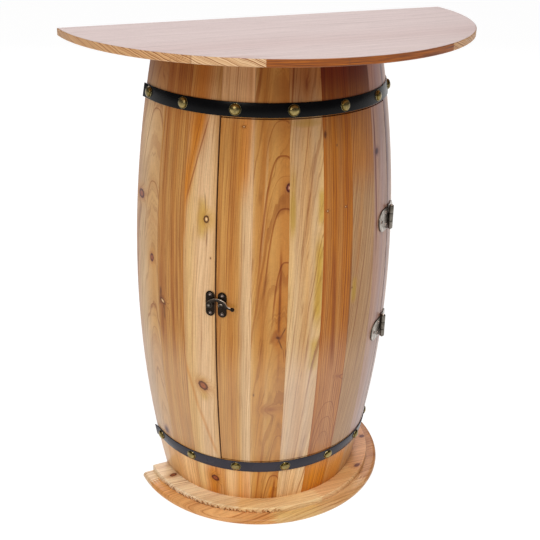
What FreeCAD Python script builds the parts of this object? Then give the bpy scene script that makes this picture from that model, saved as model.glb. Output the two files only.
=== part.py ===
import FreeCAD, Part
import math
import os
import re
import Sketcher

# Half-barrel bar cabinet in fir: a half-round table top and two half-round plinth boards carry a half
# barrel of twelve staves round a vertical axis that lies in its flat back. The six middle staves are
# sawn out between two riveted iron hoops and make a door on two surface hinges, closed by a hook latch.
#
# Frame: +Z up, front towards -Y, origin on the floor under the middle of the table top's box.
# Lengths are in millimetres and angles in degrees. An angle round the barrel is 0 at the front and
# grows towards +X. Each body is drawn with the barrel's axis on Z and then turned and set back.

DOOR_STAVES = 6
SIDE_STAVES = 3
HOOP_NAILS = 8
NAIL_SIDES = 10
SCREW_SIDES = 8

# how near two lengths are taken as one
NEAR = 1e-4

SIZES = [
    # table top and plinth
    ("top_radius", 295),
    ("top_thickness", 10),
    ("top_edge_bevel", 1),
    ("lower_plinth_radius", 204),
    ("lower_plinth_thickness", 10),
    ("lower_plinth_bevel", 4.5),
    ("upper_plinth_radius", 187),
    ("upper_plinth_thickness", 10),
    ("upper_plinth_bevel", 0.8),
    # barrel
    ("barrel_height", 700),
    ("mid_radius", 200),
    ("end_radius", 162.5),
    ("stave_thickness", 12),
    ("stave_angle", 14.5),
    # door opening: its left edge, the wall below it and the wall above it
    ("door_start_angle", -42.8),
    ("sill_height", 79),
    ("lintel_height", 90),
    ("door_gap", 1.6),
    ("batten_thickness", 10),
    ("batten_width", 32),
    ("batten_inset", 45),
    ("batten_margin", 14),
    # boards across the inside
    ("board_thickness", 12),
    ("board_clearance", 0.3),
    ("stop_lap", 6),
    ("shelf_clearance", 4),
    ("cleat_depth", 14),
    ("cleat_height", 12),
    ("cleat_angle", 26),
    ("cleat_margin", 7),
    ("panel_thickness", 5),
    # hoops
    ("hoop_width", 19),
    ("hoop_thickness", 1.5),
    ("hoop_clearance", 0.05),
    ("hoop_margin", 0.8),
    ("nail_spacing_angle", 24.3),
    ("bottom_nails_angle", 1.2),
    ("nail_radius", 8),
    ("nail_height", 4.6),
    ("nail_rim", 0.5),
    ("nail_shank_radius", 1.8),
    ("nail_hole_width", 4.4),
    # hinges
    ("hinge_spacing", 178),
    ("hinge_length", 35),
    ("hinge_standoff", 3.2),
    ("knuckle_radius", 3.6),
    ("knuckle_gap", 0.4),
    ("pin_radius", 1.2),
    ("pin_clearance", 0.05),
    ("pin_head_radius", 2.6),
    ("pin_head_height", 1.6),
    ("leaf_width", 38),
    ("leaf_height", 33),
    ("leaf_thickness", 1.5),
    ("leaf_gap", 0.8),
    ("screw_radius", 2.7),
    ("screw_height", 1.1),
    ("screw_shank_radius", 1.4),
    ("screw_hole_radius", 2),
    ("hinge_screw_near", 10),
    ("hinge_screw_far", 29),
    ("hinge_screw_rise", 9),
    # latch
    ("latch_plate_width", 13),
    ("latch_plate_height", 38),
    ("latch_plate_thickness", 1.2),
    ("latch_screw_rise", 14),
    ("plate_left_offset", 8.2),
    ("plate_right_offset", 9.4),
    ("stud_offset", 8.4),
    ("stud_radius", 3.6),
    ("stud_height", 5),
    ("stud_bevel", 0.8),
    ("hook_clearance", 0.4),
    ("hook_lift", 2.7),
    ("hook_thickness", 2.6),
    ("arm_root_radius", 4.7),
    ("arm_root_low_angle", 32),
    ("arm_root_high_angle", 139),
    ("arm_belly_radius", 15),
    ("arm_crown_radius", 19),
    ("throat_reach", 7),
    ("throat_height", 7),
    ("notch_start_angle", 60),
    ("notch_end_angle", 15),
    ("crest_reach", 7.4),
    ("crest_height", 5.6),
    ("finger_reach", 17.6),
    ("finger_drop", 3.6),
    ("finger_width", 3),
    ("finger_lean", 0.4),
    ("finger_end_radius", 1.9),
    ("finger_dip_radius", 8.3),
    ("finger_belly_radius", 30),
    ("hub_radius", 5),
    ("hub_lift", 1.5),
    ("hub_height", 4.3),
    ("rivet_radius", 1.6),
    ("rivet_clearance", 0.05),
    ("rivet_head_radius", 3),
    ("rivet_head_height", 1.3),
    ("rivet_head_gap", 0.3),
]

doc = FreeCAD.newDocument("barrel_bar_cabinet")
sheet = doc.addObject("Spreadsheet::Sheet", "Sizes")
for row, (alias, number) in enumerate(SIZES, start=1):
    sheet.set(f"A{row}", alias)
    sheet.set(f"B{row}", str(number))
    sheet.setAlias(f"B{row}", alias)
doc.recompute()

PIECES = []


# ---------------------------------------------------------------- sizes as expressions

def linked(text):
    """An expression with each size's name made a link to its cell in the sheet."""
    return re.sub(r"\b(?!pi\b)([a-z][a-z_]+)\b(?!\()", r"Sizes.\1", text)


def value(text):
    """The number that an expression of the sheet's sizes comes to."""
    return float(sheet.evalExpression(linked(text)))


def bind(owner, name, text):
    """Ties a property to an expression of the sheet's sizes."""
    owner.setExpression(name, linked(text))


def barrel_radius(level, depth="0"):
    """Distance from the axis, at a level, of the face that lies depth inside the staves' outer face."""
    return f"({BULGE_CENTRE} + sqrt(({BULGE} - ({depth}))^2 - (({level}) - {MIDDLE})^2))"


def slope(level):
    """The angle by which the staves lean back from upright at a level."""
    return f"asin((({level}) - {MIDDLE}) / {BULGE})"


def along_arc(length):
    """The angle that a length takes up round the barrel at its widest."""
    return f"(({length}) / mid_radius * 180 / pi)"


SWELL = "(mid_radius - end_radius)"
BULGE = f"(((barrel_height / 2)^2 + {SWELL}^2) / (2 * {SWELL}))"
BULGE_CENTRE = f"(mid_radius - {BULGE})"
PLINTH_TOP = "(lower_plinth_thickness + upper_plinth_thickness)"
BARREL_TOP = f"({PLINTH_TOP} + barrel_height)"
MIDDLE = f"({PLINTH_TOP} + barrel_height / 2)"
SILL = f"({PLINTH_TOP} + sill_height)"
LINTEL = f"({BARREL_TOP} - lintel_height)"
DOOR_END = f"(door_start_angle + {DOOR_STAVES} * stave_angle)"
GAP_ANGLE = along_arc("door_gap")
DOOR_LOW = f"({SILL} + door_gap)"
DOOR_HIGH = f"({LINTEL} - door_gap)"


# ---------------------------------------------------------------- sketches and features

def new_body(name):
    """A body that becomes the node of that name."""
    body = doc.addObject("PartDesign::Body", name)
    body.Label = name
    PIECES.append(body)
    return body


def origin_feature(body, role):
    """One of the body's own origin planes or axes."""
    return next(item for item in body.Origin.OriginFeatures if item.Role == role)


def new_sketch(body, name, role, out="0", sideways="0"):
    """A sketch on an origin plane, moved out along its normal and sideways along its first axis."""
    sketch = body.newObject("Sketcher::SketchObject", f"{body.Label}_{name}")
    sketch.AttachmentSupport = [(origin_feature(body, role), "")]
    sketch.MapMode = "FlatFace"
    for axis, text in (("x", sideways), ("z", out)):
        if text != "0":
            bind(sketch, f"AttachmentOffset.Base.{axis}", text)
    return sketch


def lay_on_barrel(sketch, step, level):
    """Lays a sketch that is on YZ_Plane flat against the barrel, touching it a step round from the front."""
    radius = barrel_radius(level)
    spot = f"vector({radius} * sin({step}); {level}; {radius} * cos({step}))"
    turned = f"rotation(vector(0; 1; 0); {step}) * rotation(vector(-1; 0; 0); {slope(level)})"
    bind(sketch, "AttachmentOffset", f"placement({spot}; {turned})")


def hold_point(sketch, curve, point, x, y):
    """Ties a point of a curve to the sketch's origin by two expressions."""
    for kind, text, axis in (("DistanceX", x, -2), ("DistanceY", y, -1)):
        number = value(text)
        if abs(number) < 1e-9:
            sketch.addConstraint(Sketcher.Constraint("PointOnObject", curve, point, axis))
            continue
        ends = (-1, 1, curve, point) if number > 0 else (curve, point, -1, 1)
        index = sketch.addConstraint(Sketcher.Constraint(kind, *ends, abs(number)))
        bind(sketch, f"Constraints[{index}]", text if number > 0 else f"0 - ({text})")


def arc_between(first, last, radius):
    """The arc from first to last whose centre lies on the left for a positive radius."""
    chord = last - first
    middle = (first + last) * 0.5
    left = FreeCAD.Vector(-chord.y, chord.x, 0).normalize()
    rise = math.sqrt(max(radius * radius - chord.Length ** 2 / 4, 0))
    centre = middle + left * (rise if radius > 0 else -rise)
    ends = (first, last) if radius > 0 else (last, first)
    angles = [math.atan2(end.y - centre.y, end.x - centre.x) for end in ends]
    circle = Part.Circle(centre, FreeCAD.Vector(0, 0, 1), abs(radius))
    return Part.ArcOfCircle(circle, *angles)


def draw_outline(sketch, corners):
    """Draws a closed outline through corners (x, y) or (x, y, radius).

    A radius makes the edge that leaves the corner an arc, with its centre on the left of the way
    from this corner to the next when it is positive and on the right when it starts with a minus.
    A sketch calls the two ends of a curve 1 and 2, and an arc runs anticlockwise from 1 to 2.
    """
    count = len(corners)
    points = [FreeCAD.Vector(value(corner[0]), value(corner[1]), 0) for corner in corners]
    tails = []
    heads = []
    for index, corner in enumerate(corners):
        first, last = points[index], points[(index + 1) % count]
        if len(corner) == 2:
            curve = sketch.addGeometry(Part.LineSegment(first, last))
            ends = (1, 2)
        else:
            on_right = corner[2].startswith("-")
            size = corner[2].lstrip("-")
            radius = value(size)
            curve = sketch.addGeometry(arc_between(first, last, -radius if on_right else radius))
            ends = (2, 1) if on_right else (1, 2)
            rule = sketch.addConstraint(Sketcher.Constraint("Radius", curve, radius))
            bind(sketch, f"Constraints[{rule}]", size)
        tails.append((curve, ends[0]))
        heads.append((curve, ends[1]))
    for index, corner in enumerate(corners):
        sketch.addConstraint(Sketcher.Constraint("Coincident", *heads[index - 1], *tails[index]))
        hold_point(sketch, *tails[index], corner[0], corner[1])


def draw_circle(sketch, x, y, radius):
    """Draws a circle whose centre and radius are expressions."""
    centre = FreeCAD.Vector(value(x), value(y), 0)
    curve = sketch.addGeometry(Part.Circle(centre, FreeCAD.Vector(0, 0, 1), value(radius)))
    rule = sketch.addConstraint(Sketcher.Constraint("Radius", curve, value(radius)))
    bind(sketch, f"Constraints[{rule}]", radius)
    hold_point(sketch, curve, 3, x, y)


def revolve(body, sketch, angle="360"):
    """Turns a sketch about its own vertical axis, half the angle to each side."""
    feature = body.newObject("PartDesign::Revolution", f"{body.Label}_turned")
    feature.Profile = sketch
    feature.ReferenceAxis = (sketch, ["V_Axis"])
    feature.Midplane = True
    bind(feature, "Angle", angle)
    return feature


def pad(body, sketch, length):
    """Raises a sketch along its normal."""
    feature = body.newObject("PartDesign::Pad", f"{sketch.Label}_pad")
    feature.Profile = sketch
    bind(feature, "Length", length)
    return feature


def cut_through(body, sketch):
    """Cuts a sketch through the body both ways, and checks that it took material away."""
    doc.recompute()
    before = body.Shape.Volume
    feature = body.newObject("PartDesign::Pocket", f"{sketch.Label}_cut")
    feature.Profile = sketch
    feature.SideType = "Symmetric"
    feature.Type = "ThroughAll"
    doc.recompute()
    if body.Shape.Volume > before - 1e-3:
        raise RuntimeError(f"{feature.Label} cuts nothing")
    return feature


def bevel_edges(body, base, size, chosen):
    """Chamfers the edges of base that chosen(edge) picks."""
    doc.recompute()
    names = [f"Edge{index}" for index, edge in enumerate(base.Shape.Edges, start=1) if chosen(edge)]
    feature = body.newObject("PartDesign::Chamfer", f"{body.Label}_bevelled")
    feature.Base = (base, names)
    bind(feature, "Size", size)
    return feature


def stand(piece, angle="0"):
    """Turns a piece that is drawn facing the front to its angle, and sets the back plane in its place."""
    turned = f"rotation(vector(0; 0; 1); {angle})"
    bind(piece, "Placement", f"placement(vector(0; top_radius / 2; 0); {turned})")


def stand_radial(piece, angle):
    """As stand, for a piece that is drawn round +X."""
    stand(piece, f"({angle}) - 90")


# ---------------------------------------------------------------- staves, boards and hoops

def curved_wall(low, high, outer_depth, inner_depth):
    """Outline of a wall between two levels and two faces that follow the barrel's swell."""
    return [
        (barrel_radius(low, inner_depth), low),
        (barrel_radius(low, outer_depth), low, f"{BULGE} - ({outer_depth})"),
        (barrel_radius(high, outer_depth), high),
        (barrel_radius(high, inner_depth), high, f"-({BULGE} - ({inner_depth}))"),
    ]


def ring_piece(name, section, start, end):
    """A piece turned from its section, between two angles."""
    body = new_body(name)
    sketch = new_sketch(body, "section", "XZ_Plane")
    draw_outline(sketch, section)
    revolve(body, sketch, f"({end}) - ({start})")
    stand_radial(body, f"(({start}) + ({end})) / 2")
    return body


def stave(name, low, high, start, end):
    """One stave, or the sawn piece of one: round outside, and flat across inside as it was planed."""
    inner = f"{BULGE} - stave_thickness"
    body = ring_piece(name, [
        (barrel_radius(low, "2 * stave_thickness"), low),
        (barrel_radius(low), low, BULGE),
        (barrel_radius(high), high),
        (barrel_radius(high, "2 * stave_thickness"), high),
    ], start, end)
    inside = new_sketch(body, "inside", "XZ_Plane")
    draw_outline(inside, [
        ("0", low),
        (barrel_radius(low, "stave_thickness"), low, inner),
        (barrel_radius(high, "stave_thickness"), high),
        ("0", high),
    ])
    cut_through(body, inside)
    return body


def half_disc(name, corners):
    """A half-round board turned from its section, with its straight edge on the back plane."""
    body = new_body(name)
    sketch = new_sketch(body, "section", "XZ_Plane")
    draw_outline(sketch, corners)
    revolve(body, sketch, "180")
    stand_radial(body, "0")
    return body


def cut_back(body):
    """Saws a half-round board's straight edge off so that it meets the back panel."""
    sketch = new_sketch(body, "back", "XY_Plane")
    draw_outline(sketch, [
        ("0 - panel_thickness", "0 - top_radius"),
        ("panel_thickness", "0 - top_radius"),
        ("panel_thickness", "top_radius"),
        ("0 - panel_thickness", "top_radius"),
    ])
    cut_through(body, sketch)


def bevelled_disc(name, radius, low, thickness, bevel):
    """A half-round board whose curved edge is bevelled above and below."""
    high = f"({low} + {thickness})"
    return half_disc(name, [
        ("0", low),
        (f"{radius} - {bevel}", low),
        (radius, f"{low} + {bevel}"),
        (radius, f"{high} - {bevel}"),
        (f"{radius} - {bevel}", high),
        ("0", high),
    ])


def inner_board(name, low):
    """A half-round board that fits the inside of the staves at its level."""
    high = f"({low} + board_thickness)"
    depth = "stave_thickness + board_clearance"
    body = half_disc(name, [
        ("0", low),
        (barrel_radius(low, depth), low, f"{BULGE} - ({depth})"),
        (barrel_radius(high, depth), high),
        ("0", high),
    ])
    cut_back(body)
    return body


def make_shelf():
    """The middle shelf, held off the door's inner face all round."""
    low = f"({MIDDLE} - board_thickness / 2)"
    high = f"({MIDDLE} + board_thickness / 2)"
    radius = "mid_radius - stave_thickness - shelf_clearance"
    body = half_disc("middle_shelf", [("0", low), (radius, low), (radius, high), ("0", high)])
    cut_back(body)
    top = f"({MIDDLE} - board_thickness / 2)"
    bottom = f"({top} - cleat_height)"
    inner = "stave_thickness + cleat_depth"
    left_end = "door_start_angle - cleat_margin"
    right_start = f"{DOOR_END} + cleat_margin"
    section = curved_wall(bottom, top, "stave_thickness", inner)
    ring_piece("left_shelf_cleat", section, f"{left_end} - cleat_angle", left_end)
    ring_piece("right_shelf_cleat", section, right_start, f"{right_start} + cleat_angle")


def make_back_panel():
    """The flat panel between the back edges of the outer staves."""
    body = new_body("back_panel")
    sketch = new_sketch(body, "outline", "XZ_Plane")
    half_left = f"((door_start_angle - {SIDE_STAVES - 1} * stave_angle + 90) / 2)"
    half_right = f"((90 - {DOOR_END} - {SIDE_STAVES - 1} * stave_angle) / 2)"

    def edge(level, half):
        """Half the room between the outer staves' flat inner faces, half a stave's angle from the back."""
        room = f"{barrel_radius(level, 'stave_thickness')} / cos({half}) - panel_thickness * tan({half})"
        return f"({room} - board_clearance)"

    def bend(half):
        """Radius of the swell of that inner face where the back plane cuts it."""
        return f"(({BULGE} - stave_thickness) * cos({half}))"

    draw_outline(sketch, [
        (f"0 - {edge(PLINTH_TOP, half_left)}", PLINTH_TOP),
        (edge(PLINTH_TOP, half_right), PLINTH_TOP, bend(half_right)),
        (edge(BARREL_TOP, half_right), BARREL_TOP),
        (f"0 - {edge(BARREL_TOP, half_left)}", BARREL_TOP, bend(half_left)),
    ])
    pad(body, sketch, "panel_thickness")
    stand(body)


def make_staves():
    """Three fixed staves on each side, and six in the middle sawn into door, sill and lintel."""
    for place in range(SIDE_STAVES):
        inner = f"door_start_angle - {SIDE_STAVES - 1 - place} * stave_angle"
        outer = "-90" if place == 0 else f"{inner} - stave_angle"
        stave(f"left_stave_{place + 1}", PLINTH_TOP, BARREL_TOP, outer, inner)
        inner = f"{DOOR_END} + {place} * stave_angle"
        outer = "90" if place == SIDE_STAVES - 1 else f"{inner} + stave_angle"
        stave(f"right_stave_{place + 1}", PLINTH_TOP, BARREL_TOP, inner, outer)
    for place in range(DOOR_STAVES):
        start = f"door_start_angle + {place} * stave_angle"
        end = f"{start} + stave_angle"
        stave(f"upper_stave_{place + 1}", LINTEL, BARREL_TOP, start, end)
        stave(f"lower_stave_{place + 1}", PLINTH_TOP, SILL, start, end)
        first = f"{start} + {GAP_ANGLE}" if place == 0 else start
        last = f"{end} - {GAP_ANGLE}" if place == DOOR_STAVES - 1 else end
        stave(f"door_stave_{place + 1}", DOOR_LOW, DOOR_HIGH, first, last)


def make_door_battens():
    """Two curved battens that hold the door's staves together inside."""
    inner = "stave_thickness + batten_thickness"
    start = f"door_start_angle + {along_arc('batten_margin')}"
    end = f"{DOOR_END} - {along_arc('batten_margin')}"
    high = f"({DOOR_HIGH} - batten_inset)"
    low = f"({DOOR_LOW} + batten_inset)"
    upper = curved_wall(f"{high} - batten_width", high, "stave_thickness", inner)
    lower = curved_wall(low, f"{low} + batten_width", "stave_thickness", inner)
    ring_piece("upper_door_batten", upper, start, end)
    ring_piece("lower_door_batten", lower, start, end)


def make_hoop(name, low, nails_middle):
    """A flat iron strap bent into a cone that fits the staves at its level, with square nail holes.

    The holes are evenly spaced round the barrel, half of them to each side of the angle nails_middle.
    """
    high = f"({low} + hoop_width)"
    level = f"({low} + hoop_width / 2)"
    lean = slope(level)

    def face(at, proud):
        """Distance from the axis of the strap's face at a level, proud of the staves by so much."""
        return f"({barrel_radius(level)} + ({proud}) / cos({lean}) - (({at}) - {level}) * tan({lean}))"

    outer = "hoop_clearance + hoop_thickness"
    body = ring_piece(name, [
        (face(low, "hoop_clearance"), low),
        (face(low, outer), low),
        (face(high, outer), high),
        (face(high, "hoop_clearance"), high),
    ], "-90", "90")
    sketch = new_sketch(body, "hole", "YZ_Plane")
    first = value(f"{nails_middle} - {NAIL_SWEEP} / 2")
    sketch.AttachmentOffset = FreeCAD.Placement(
        FreeCAD.Vector(), FreeCAD.Rotation(FreeCAD.Vector(0, 1, 0), first))
    draw_outline(sketch, [
        ("0 - nail_hole_width / 2", f"{level} - nail_hole_width / 2"),
        ("nail_hole_width / 2", f"{level} - nail_hole_width / 2"),
        ("nail_hole_width / 2", f"{level} + nail_hole_width / 2"),
        ("0 - nail_hole_width / 2", f"{level} + nail_hole_width / 2"),
    ])
    hole = cut_through(body, sketch)
    pattern = body.newObject("PartDesign::PolarPattern", f"{name}_holes")
    pattern.Originals = [hole]
    pattern.Axis = (origin_feature(body, "Z_Axis"), [""])
    pattern.Occurrences = HOOP_NAILS
    bind(pattern, "Angle", NAIL_SWEEP)
    body.Tip = pattern


NAIL_SWEEP = f"({HOOP_NAILS - 1} * nail_spacing_angle)"
TOP_HOOP = f"({LINTEL} + hoop_margin)"
BOTTOM_HOOP = f"({SILL} - hoop_margin - hoop_width)"


# ---------------------------------------------------------------- nails, screws and rivets

def seat_on_barrel(angle, level, height, across=0, up=0):
    """Placement with Z along the barrel's outward normal, height above the staves.

    across and up shift it along the plane that touches the barrel at that angle and level.
    """
    lean = value(slope(level))
    turn = FreeCAD.Rotation(FreeCAD.Vector(0, 0, 1), angle - 90)
    tilt = FreeCAD.Rotation(FreeCAD.Vector(0, 1, 0), 90 - lean)
    spin = turn.multiply(tilt)
    foot = turn.multVec(FreeCAD.Vector(value(barrel_radius(level)), 0, level))
    return FreeCAD.Placement(foot + spin.multVec(FreeCAD.Vector(-up, across, height)), spin)


def faceted_turning(profile, sides):
    """A solid of flat faces turned from (radius, height) pairs, from its lower flat end to its upper one."""
    rings = []
    for radius, height in profile:
        angles = [2 * math.pi * side / sides for side in range(sides)]
        rings.append([FreeCAD.Vector(radius * math.cos(a), radius * math.sin(a), height) for a in angles])
    loops = [rings[0], rings[-1]]
    for below, above in zip(rings, rings[1:]):
        for side in range(sides):
            following = (side + 1) % sides
            loops.append([below[side], below[following], above[following], above[side]])
    faces = [Part.Face(Part.makePolygon(loop + loop[:1])) for loop in loops]
    solid = Part.Solid(Part.Shell(faces))
    if solid.Volume < 0:
        solid.reverse()
    return solid


def domed_head(radius, height, rim, shank_radius, shank_length, sides, steps):
    """A domed head in flat facets with a plain shank below it, its underside at Z = 0."""
    profile = [(shank_radius, -shank_length), (shank_radius, 0), (radius, 0)]
    for step in range(steps + 1):
        turn = math.pi / 2 * step / (steps + 1)
        profile.append((radius * math.cos(turn), rim + (height - rim) * math.sin(turn)))
    profile.append((profile[-1][0] / 2, height))
    return faceted_turning(profile, sides)


def fastener_group(name, solid, seats):
    """A node that holds one copy of the solid at each seat."""
    copies = []
    for seat in seats:
        copy = solid.copy()
        copy.Placement = seat
        copies.append(copy)
    piece = doc.addObject("Part::Feature", name)
    piece.Label = name
    piece.Shape = Part.makeCompound(copies)
    piece.Placement = FreeCAD.Placement(FreeCAD.Vector(0, value("top_radius") / 2, 0), FreeCAD.Rotation())
    PIECES.append(piece)


def make_hoop_nails(name, hoop_low, nails_middle):
    """The domed brass nails in one hoop's holes."""
    nail = domed_head(value("nail_radius"), value("nail_height"), value("nail_rim"),
                      value("nail_shank_radius"), value("hoop_thickness"), NAIL_SIDES, 1)
    level = value(hoop_low) + value("hoop_width") / 2
    first = value(f"{nails_middle} - {NAIL_SWEEP} / 2")
    angles = [first + place * value("nail_spacing_angle") for place in range(HOOP_NAILS)]
    height = value("hoop_clearance + hoop_thickness")
    fastener_group(name, nail, [seat_on_barrel(angle, level, height) for angle in angles])


def screw_head(plate):
    """A round-headed screw whose shank is as long as the plate that it holds is thick."""
    return domed_head(value("screw_radius"), value("screw_height"), value("screw_height") / 3,
                      value("screw_shank_radius"), value(plate), SCREW_SIDES, 1)


# ---------------------------------------------------------------- hinges

HINGE_ANGLE = f"({DOOR_END} - {GAP_ANGLE} / 2)"
HINGE_RADIUS = "(mid_radius + hinge_standoff)"
SCREW_SPOTS = [("hinge_screw_near", "hinge_screw_rise"), ("hinge_screw_near", "0 - hinge_screw_rise"),
               ("hinge_screw_far", "0")]


LEAF_STEP = along_arc("leaf_width / 2")


def make_leaf(name, centre, far_end, side, knuckles, mating):
    """One hinge leaf: a flat plate that touches the staves at its middle, and its share of the knuckles.

    side is 1 for the leaf on the cabinet's side and -1 for the door's. The leaf is drawn with the
    hinge axis in the plane Y = 0, and each knuckle is (bottom, top) above the hinge's bottom. Its edge
    is cut back beside the mating leaf's knuckles. far_end picks the end of a knuckle that is further
    from the barrel's middle, where the plate leans away from the axis.
    """
    body = new_body(name)
    sign = "" if side > 0 else "0 - "
    step = f"({sign}{LEAF_STEP})"
    radius = barrel_radius(centre)
    plate = new_sketch(body, "plate", "YZ_Plane")
    lay_on_barrel(plate, step, centre)
    edge = f"({sign}(leaf_gap / 2 / cos({LEAF_STEP}) - {radius} * tan({LEAF_STEP})))"
    shoulder = f"({sign}(leaf_width / 2 - leaf_height / 2))"
    tip = f"({sign}(leaf_width / 2))"
    bend = "leaf_height / 2" if side > 0 else "-(leaf_height / 2)"
    draw_outline(plate, [
        (edge, "0 - leaf_height / 2"),
        (shoulder, "0 - leaf_height / 2", bend),
        (tip, "0", bend),
        (shoulder, "leaf_height / 2"),
        (edge, "leaf_height / 2"),
    ])
    for along, rise in SCREW_SPOTS:
        draw_circle(plate, f"{sign}({along} - leaf_width / 2)", rise, "screw_hole_radius")
    pad(body, plate, "leaf_thickness")

    relief = new_sketch(body, "relief", "YZ_Plane")
    back = f"{sign}(knuckle_radius + knuckle_gap)"
    for bottom, top in mating:
        foot = f"{centre} - hinge_length / 2 + {bottom} - knuckle_gap"
        head = f"{centre} - hinge_length / 2 + {top} + knuckle_gap"
        draw_outline(relief, [("0", foot), (back, foot), (back, head), ("0", head)])
    cut_through(body, relief)

    near = f"{sign}(leaf_gap / 2)"
    seam = f"({HINGE_RADIUS} - sqrt(knuckle_radius^2 - (leaf_gap / 2)^2))"
    turn = "-(knuckle_radius)" if side > 0 else "knuckle_radius"
    for number, (bottom, top) in enumerate(knuckles):
        base = f"({centre} - hinge_length / 2 + {bottom})"
        far_level = f"({centre} - hinge_length / 2 + {(bottom, top)[far_end]})"
        lean = f"({far_level} - {centre}) * tan({slope(centre)})"
        foot = f"(({radius} - {lean}) / cos({LEAF_STEP}) + leaf_thickness / 2)"
        roll = new_sketch(body, f"knuckle_{number + 1}", "XY_Plane", out=base)
        draw_outline(roll, [
            (foot, f"{sign}(knuckle_radius)"),
            (HINGE_RADIUS, f"{sign}(knuckle_radius)", turn),
            (f"{HINGE_RADIUS} + knuckle_radius", "0", turn),
            (HINGE_RADIUS, f"0 - ({sign}(knuckle_radius))", turn),
            (seam, near),
            (foot, near),
        ])
        pad(body, roll, f"({top}) - ({bottom})")

    bore = new_sketch(body, "bore", "XY_Plane")
    draw_circle(bore, HINGE_RADIUS, "0", "pin_radius + pin_clearance")
    cut_through(body, bore)
    stand_radial(body, HINGE_ANGLE)


def make_pin(name, centre):
    """The hinge pin, with a tapered head at each end."""
    body = new_body(name)
    sketch = new_sketch(body, "section", "XZ_Plane", sideways=HINGE_RADIUS)
    low = f"({centre} - hinge_length / 2 - knuckle_gap)"
    high = f"({centre} + hinge_length / 2 + knuckle_gap)"
    draw_outline(sketch, [
        ("0", f"{low} - pin_head_height"),
        ("pin_radius", f"{low} - pin_head_height"),
        ("pin_head_radius", low),
        ("pin_radius", low),
        ("pin_radius", high),
        ("pin_head_radius", high),
        ("pin_radius", f"{high} + pin_head_height"),
        ("0", f"{high} + pin_head_height"),
    ])
    revolve(body, sketch)
    stand_radial(body, HINGE_ANGLE)


def make_hinges():
    """Two hinges on one vertical axis just outside the staves."""
    third = "(hinge_length / 3)"
    ends = [("0", f"{third} - knuckle_gap / 2"), (f"2 * {third} + knuckle_gap / 2", "hinge_length")]
    middle = [(f"{third} + knuckle_gap / 2", f"2 * {third} - knuckle_gap / 2")]
    height = value("leaf_thickness")
    step = value(LEAF_STEP)
    side_seats = []
    door_seats = []
    for far_end, (name, sign) in enumerate((("lower", "-"), ("upper", "+"))):
        centre = f"({MIDDLE} {sign} hinge_spacing / 2)"
        make_leaf(f"{name}_hinge_side_leaf", centre, far_end, 1, ends, middle)
        make_leaf(f"{name}_hinge_door_leaf", centre, far_end, -1, middle, ends)
        make_pin(f"{name}_hinge_pin", centre)
        level = value(centre)
        angle = value(HINGE_ANGLE)
        for along, rise in SCREW_SPOTS:
            across = value(f"{along} - leaf_width / 2")
            side_seats.append(seat_on_barrel(angle + step, level, height, across, value(rise)))
            door_seats.append(seat_on_barrel(angle - step, level, height, -across, value(rise)))
    screw = screw_head("leaf_thickness")
    fastener_group("hinge_side_screws", screw, side_seats)
    fastener_group("hinge_door_screws", screw, door_seats)


# ---------------------------------------------------------------- latch

LATCH_ANGLE = f"(door_start_angle + {GAP_ANGLE} / 2)"
RIVET_X = "(0 - plate_left_offset)"


def latch_sketch(body, name, height):
    """A sketch on the latch's flat back plane, raised by height, with X to the right and Y up."""
    return new_sketch(body, name, "XZ_Plane", out=f"mid_radius + {height}")


def make_latch_plate(name, centre):
    """A long plate with round ends and two screw holes; the latch is flat across the door gap."""
    body = new_body(name)
    half = "(latch_plate_width / 2)"
    rise = f"(latch_plate_height / 2 - {half})"
    outline = latch_sketch(body, "outline", "0")
    draw_outline(outline, [
        (f"{centre} + {half}", f"{MIDDLE} - {rise}"),
        (f"{centre} + {half}", f"{MIDDLE} + {rise}", half),
        (centre, f"{MIDDLE} + {rise} + {half}", half),
        (f"{centre} - {half}", f"{MIDDLE} + {rise}"),
        (f"{centre} - {half}", f"{MIDDLE} - {rise}", half),
        (centre, f"{MIDDLE} - {rise} - {half}", half),
    ])
    pad(body, outline, "latch_plate_thickness")
    holes = latch_sketch(body, "holes", "0")
    for sign in ("+", "-"):
        draw_circle(holes, centre, f"{MIDDLE} {sign} latch_screw_rise", "screw_hole_radius")
    cut_through(body, holes)
    stand(body, LATCH_ANGLE)
    return body


def make_latch_hook():
    """The swinging hook: a hub on the rivet, an arched arm, a notch over the stud and a finger tail."""
    body = new_body("latch_hook")

    def at(x, y, *radius):
        """A corner measured from the rivet."""
        return (f"{RIVET_X} + {x}", f"{MIDDLE} + {y}", *radius)

    stud = "(plate_left_offset + stud_offset)"
    notch = "(stud_radius + hook_clearance)"
    root_low, root_high = "arm_root_low_angle", "arm_root_high_angle"
    notch_low, notch_high = "notch_start_angle", "notch_end_angle"
    arm = latch_sketch(body, "arm", "hook_lift")
    draw_outline(arm, [
        at(f"arm_root_radius * cos({root_low})", f"arm_root_radius * sin({root_low})", "arm_belly_radius"),
        at(f"{stud} - throat_reach", "throat_height"),
        at(f"{stud} - {notch} * cos({notch_low})", f"{notch} * sin({notch_low})", f"-{notch}"),
        at(f"{stud} + {notch} * cos({notch_high})", f"0 - {notch} * sin({notch_high})", "finger_belly_radius"),
        at(f"{stud} + finger_reach", "0 - finger_drop", "finger_end_radius"),
        at(f"{stud} + finger_reach - finger_lean", "finger_width - finger_drop", "-finger_dip_radius"),
        at(f"{stud} + crest_reach", "crest_height", "arm_crown_radius"),
        at(f"arm_root_radius * cos({root_high})", f"arm_root_radius * sin({root_high})"),
    ])
    pad(body, arm, "hook_thickness")
    hub = latch_sketch(body, "hub", "hub_lift")
    draw_circle(hub, RIVET_X, MIDDLE, "hub_radius")
    pad(body, hub, "hub_height")
    bore = latch_sketch(body, "bore", "0")
    draw_circle(bore, RIVET_X, MIDDLE, "rivet_radius + rivet_clearance")
    cut_through(body, bore)
    stand(body, LATCH_ANGLE)


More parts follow.
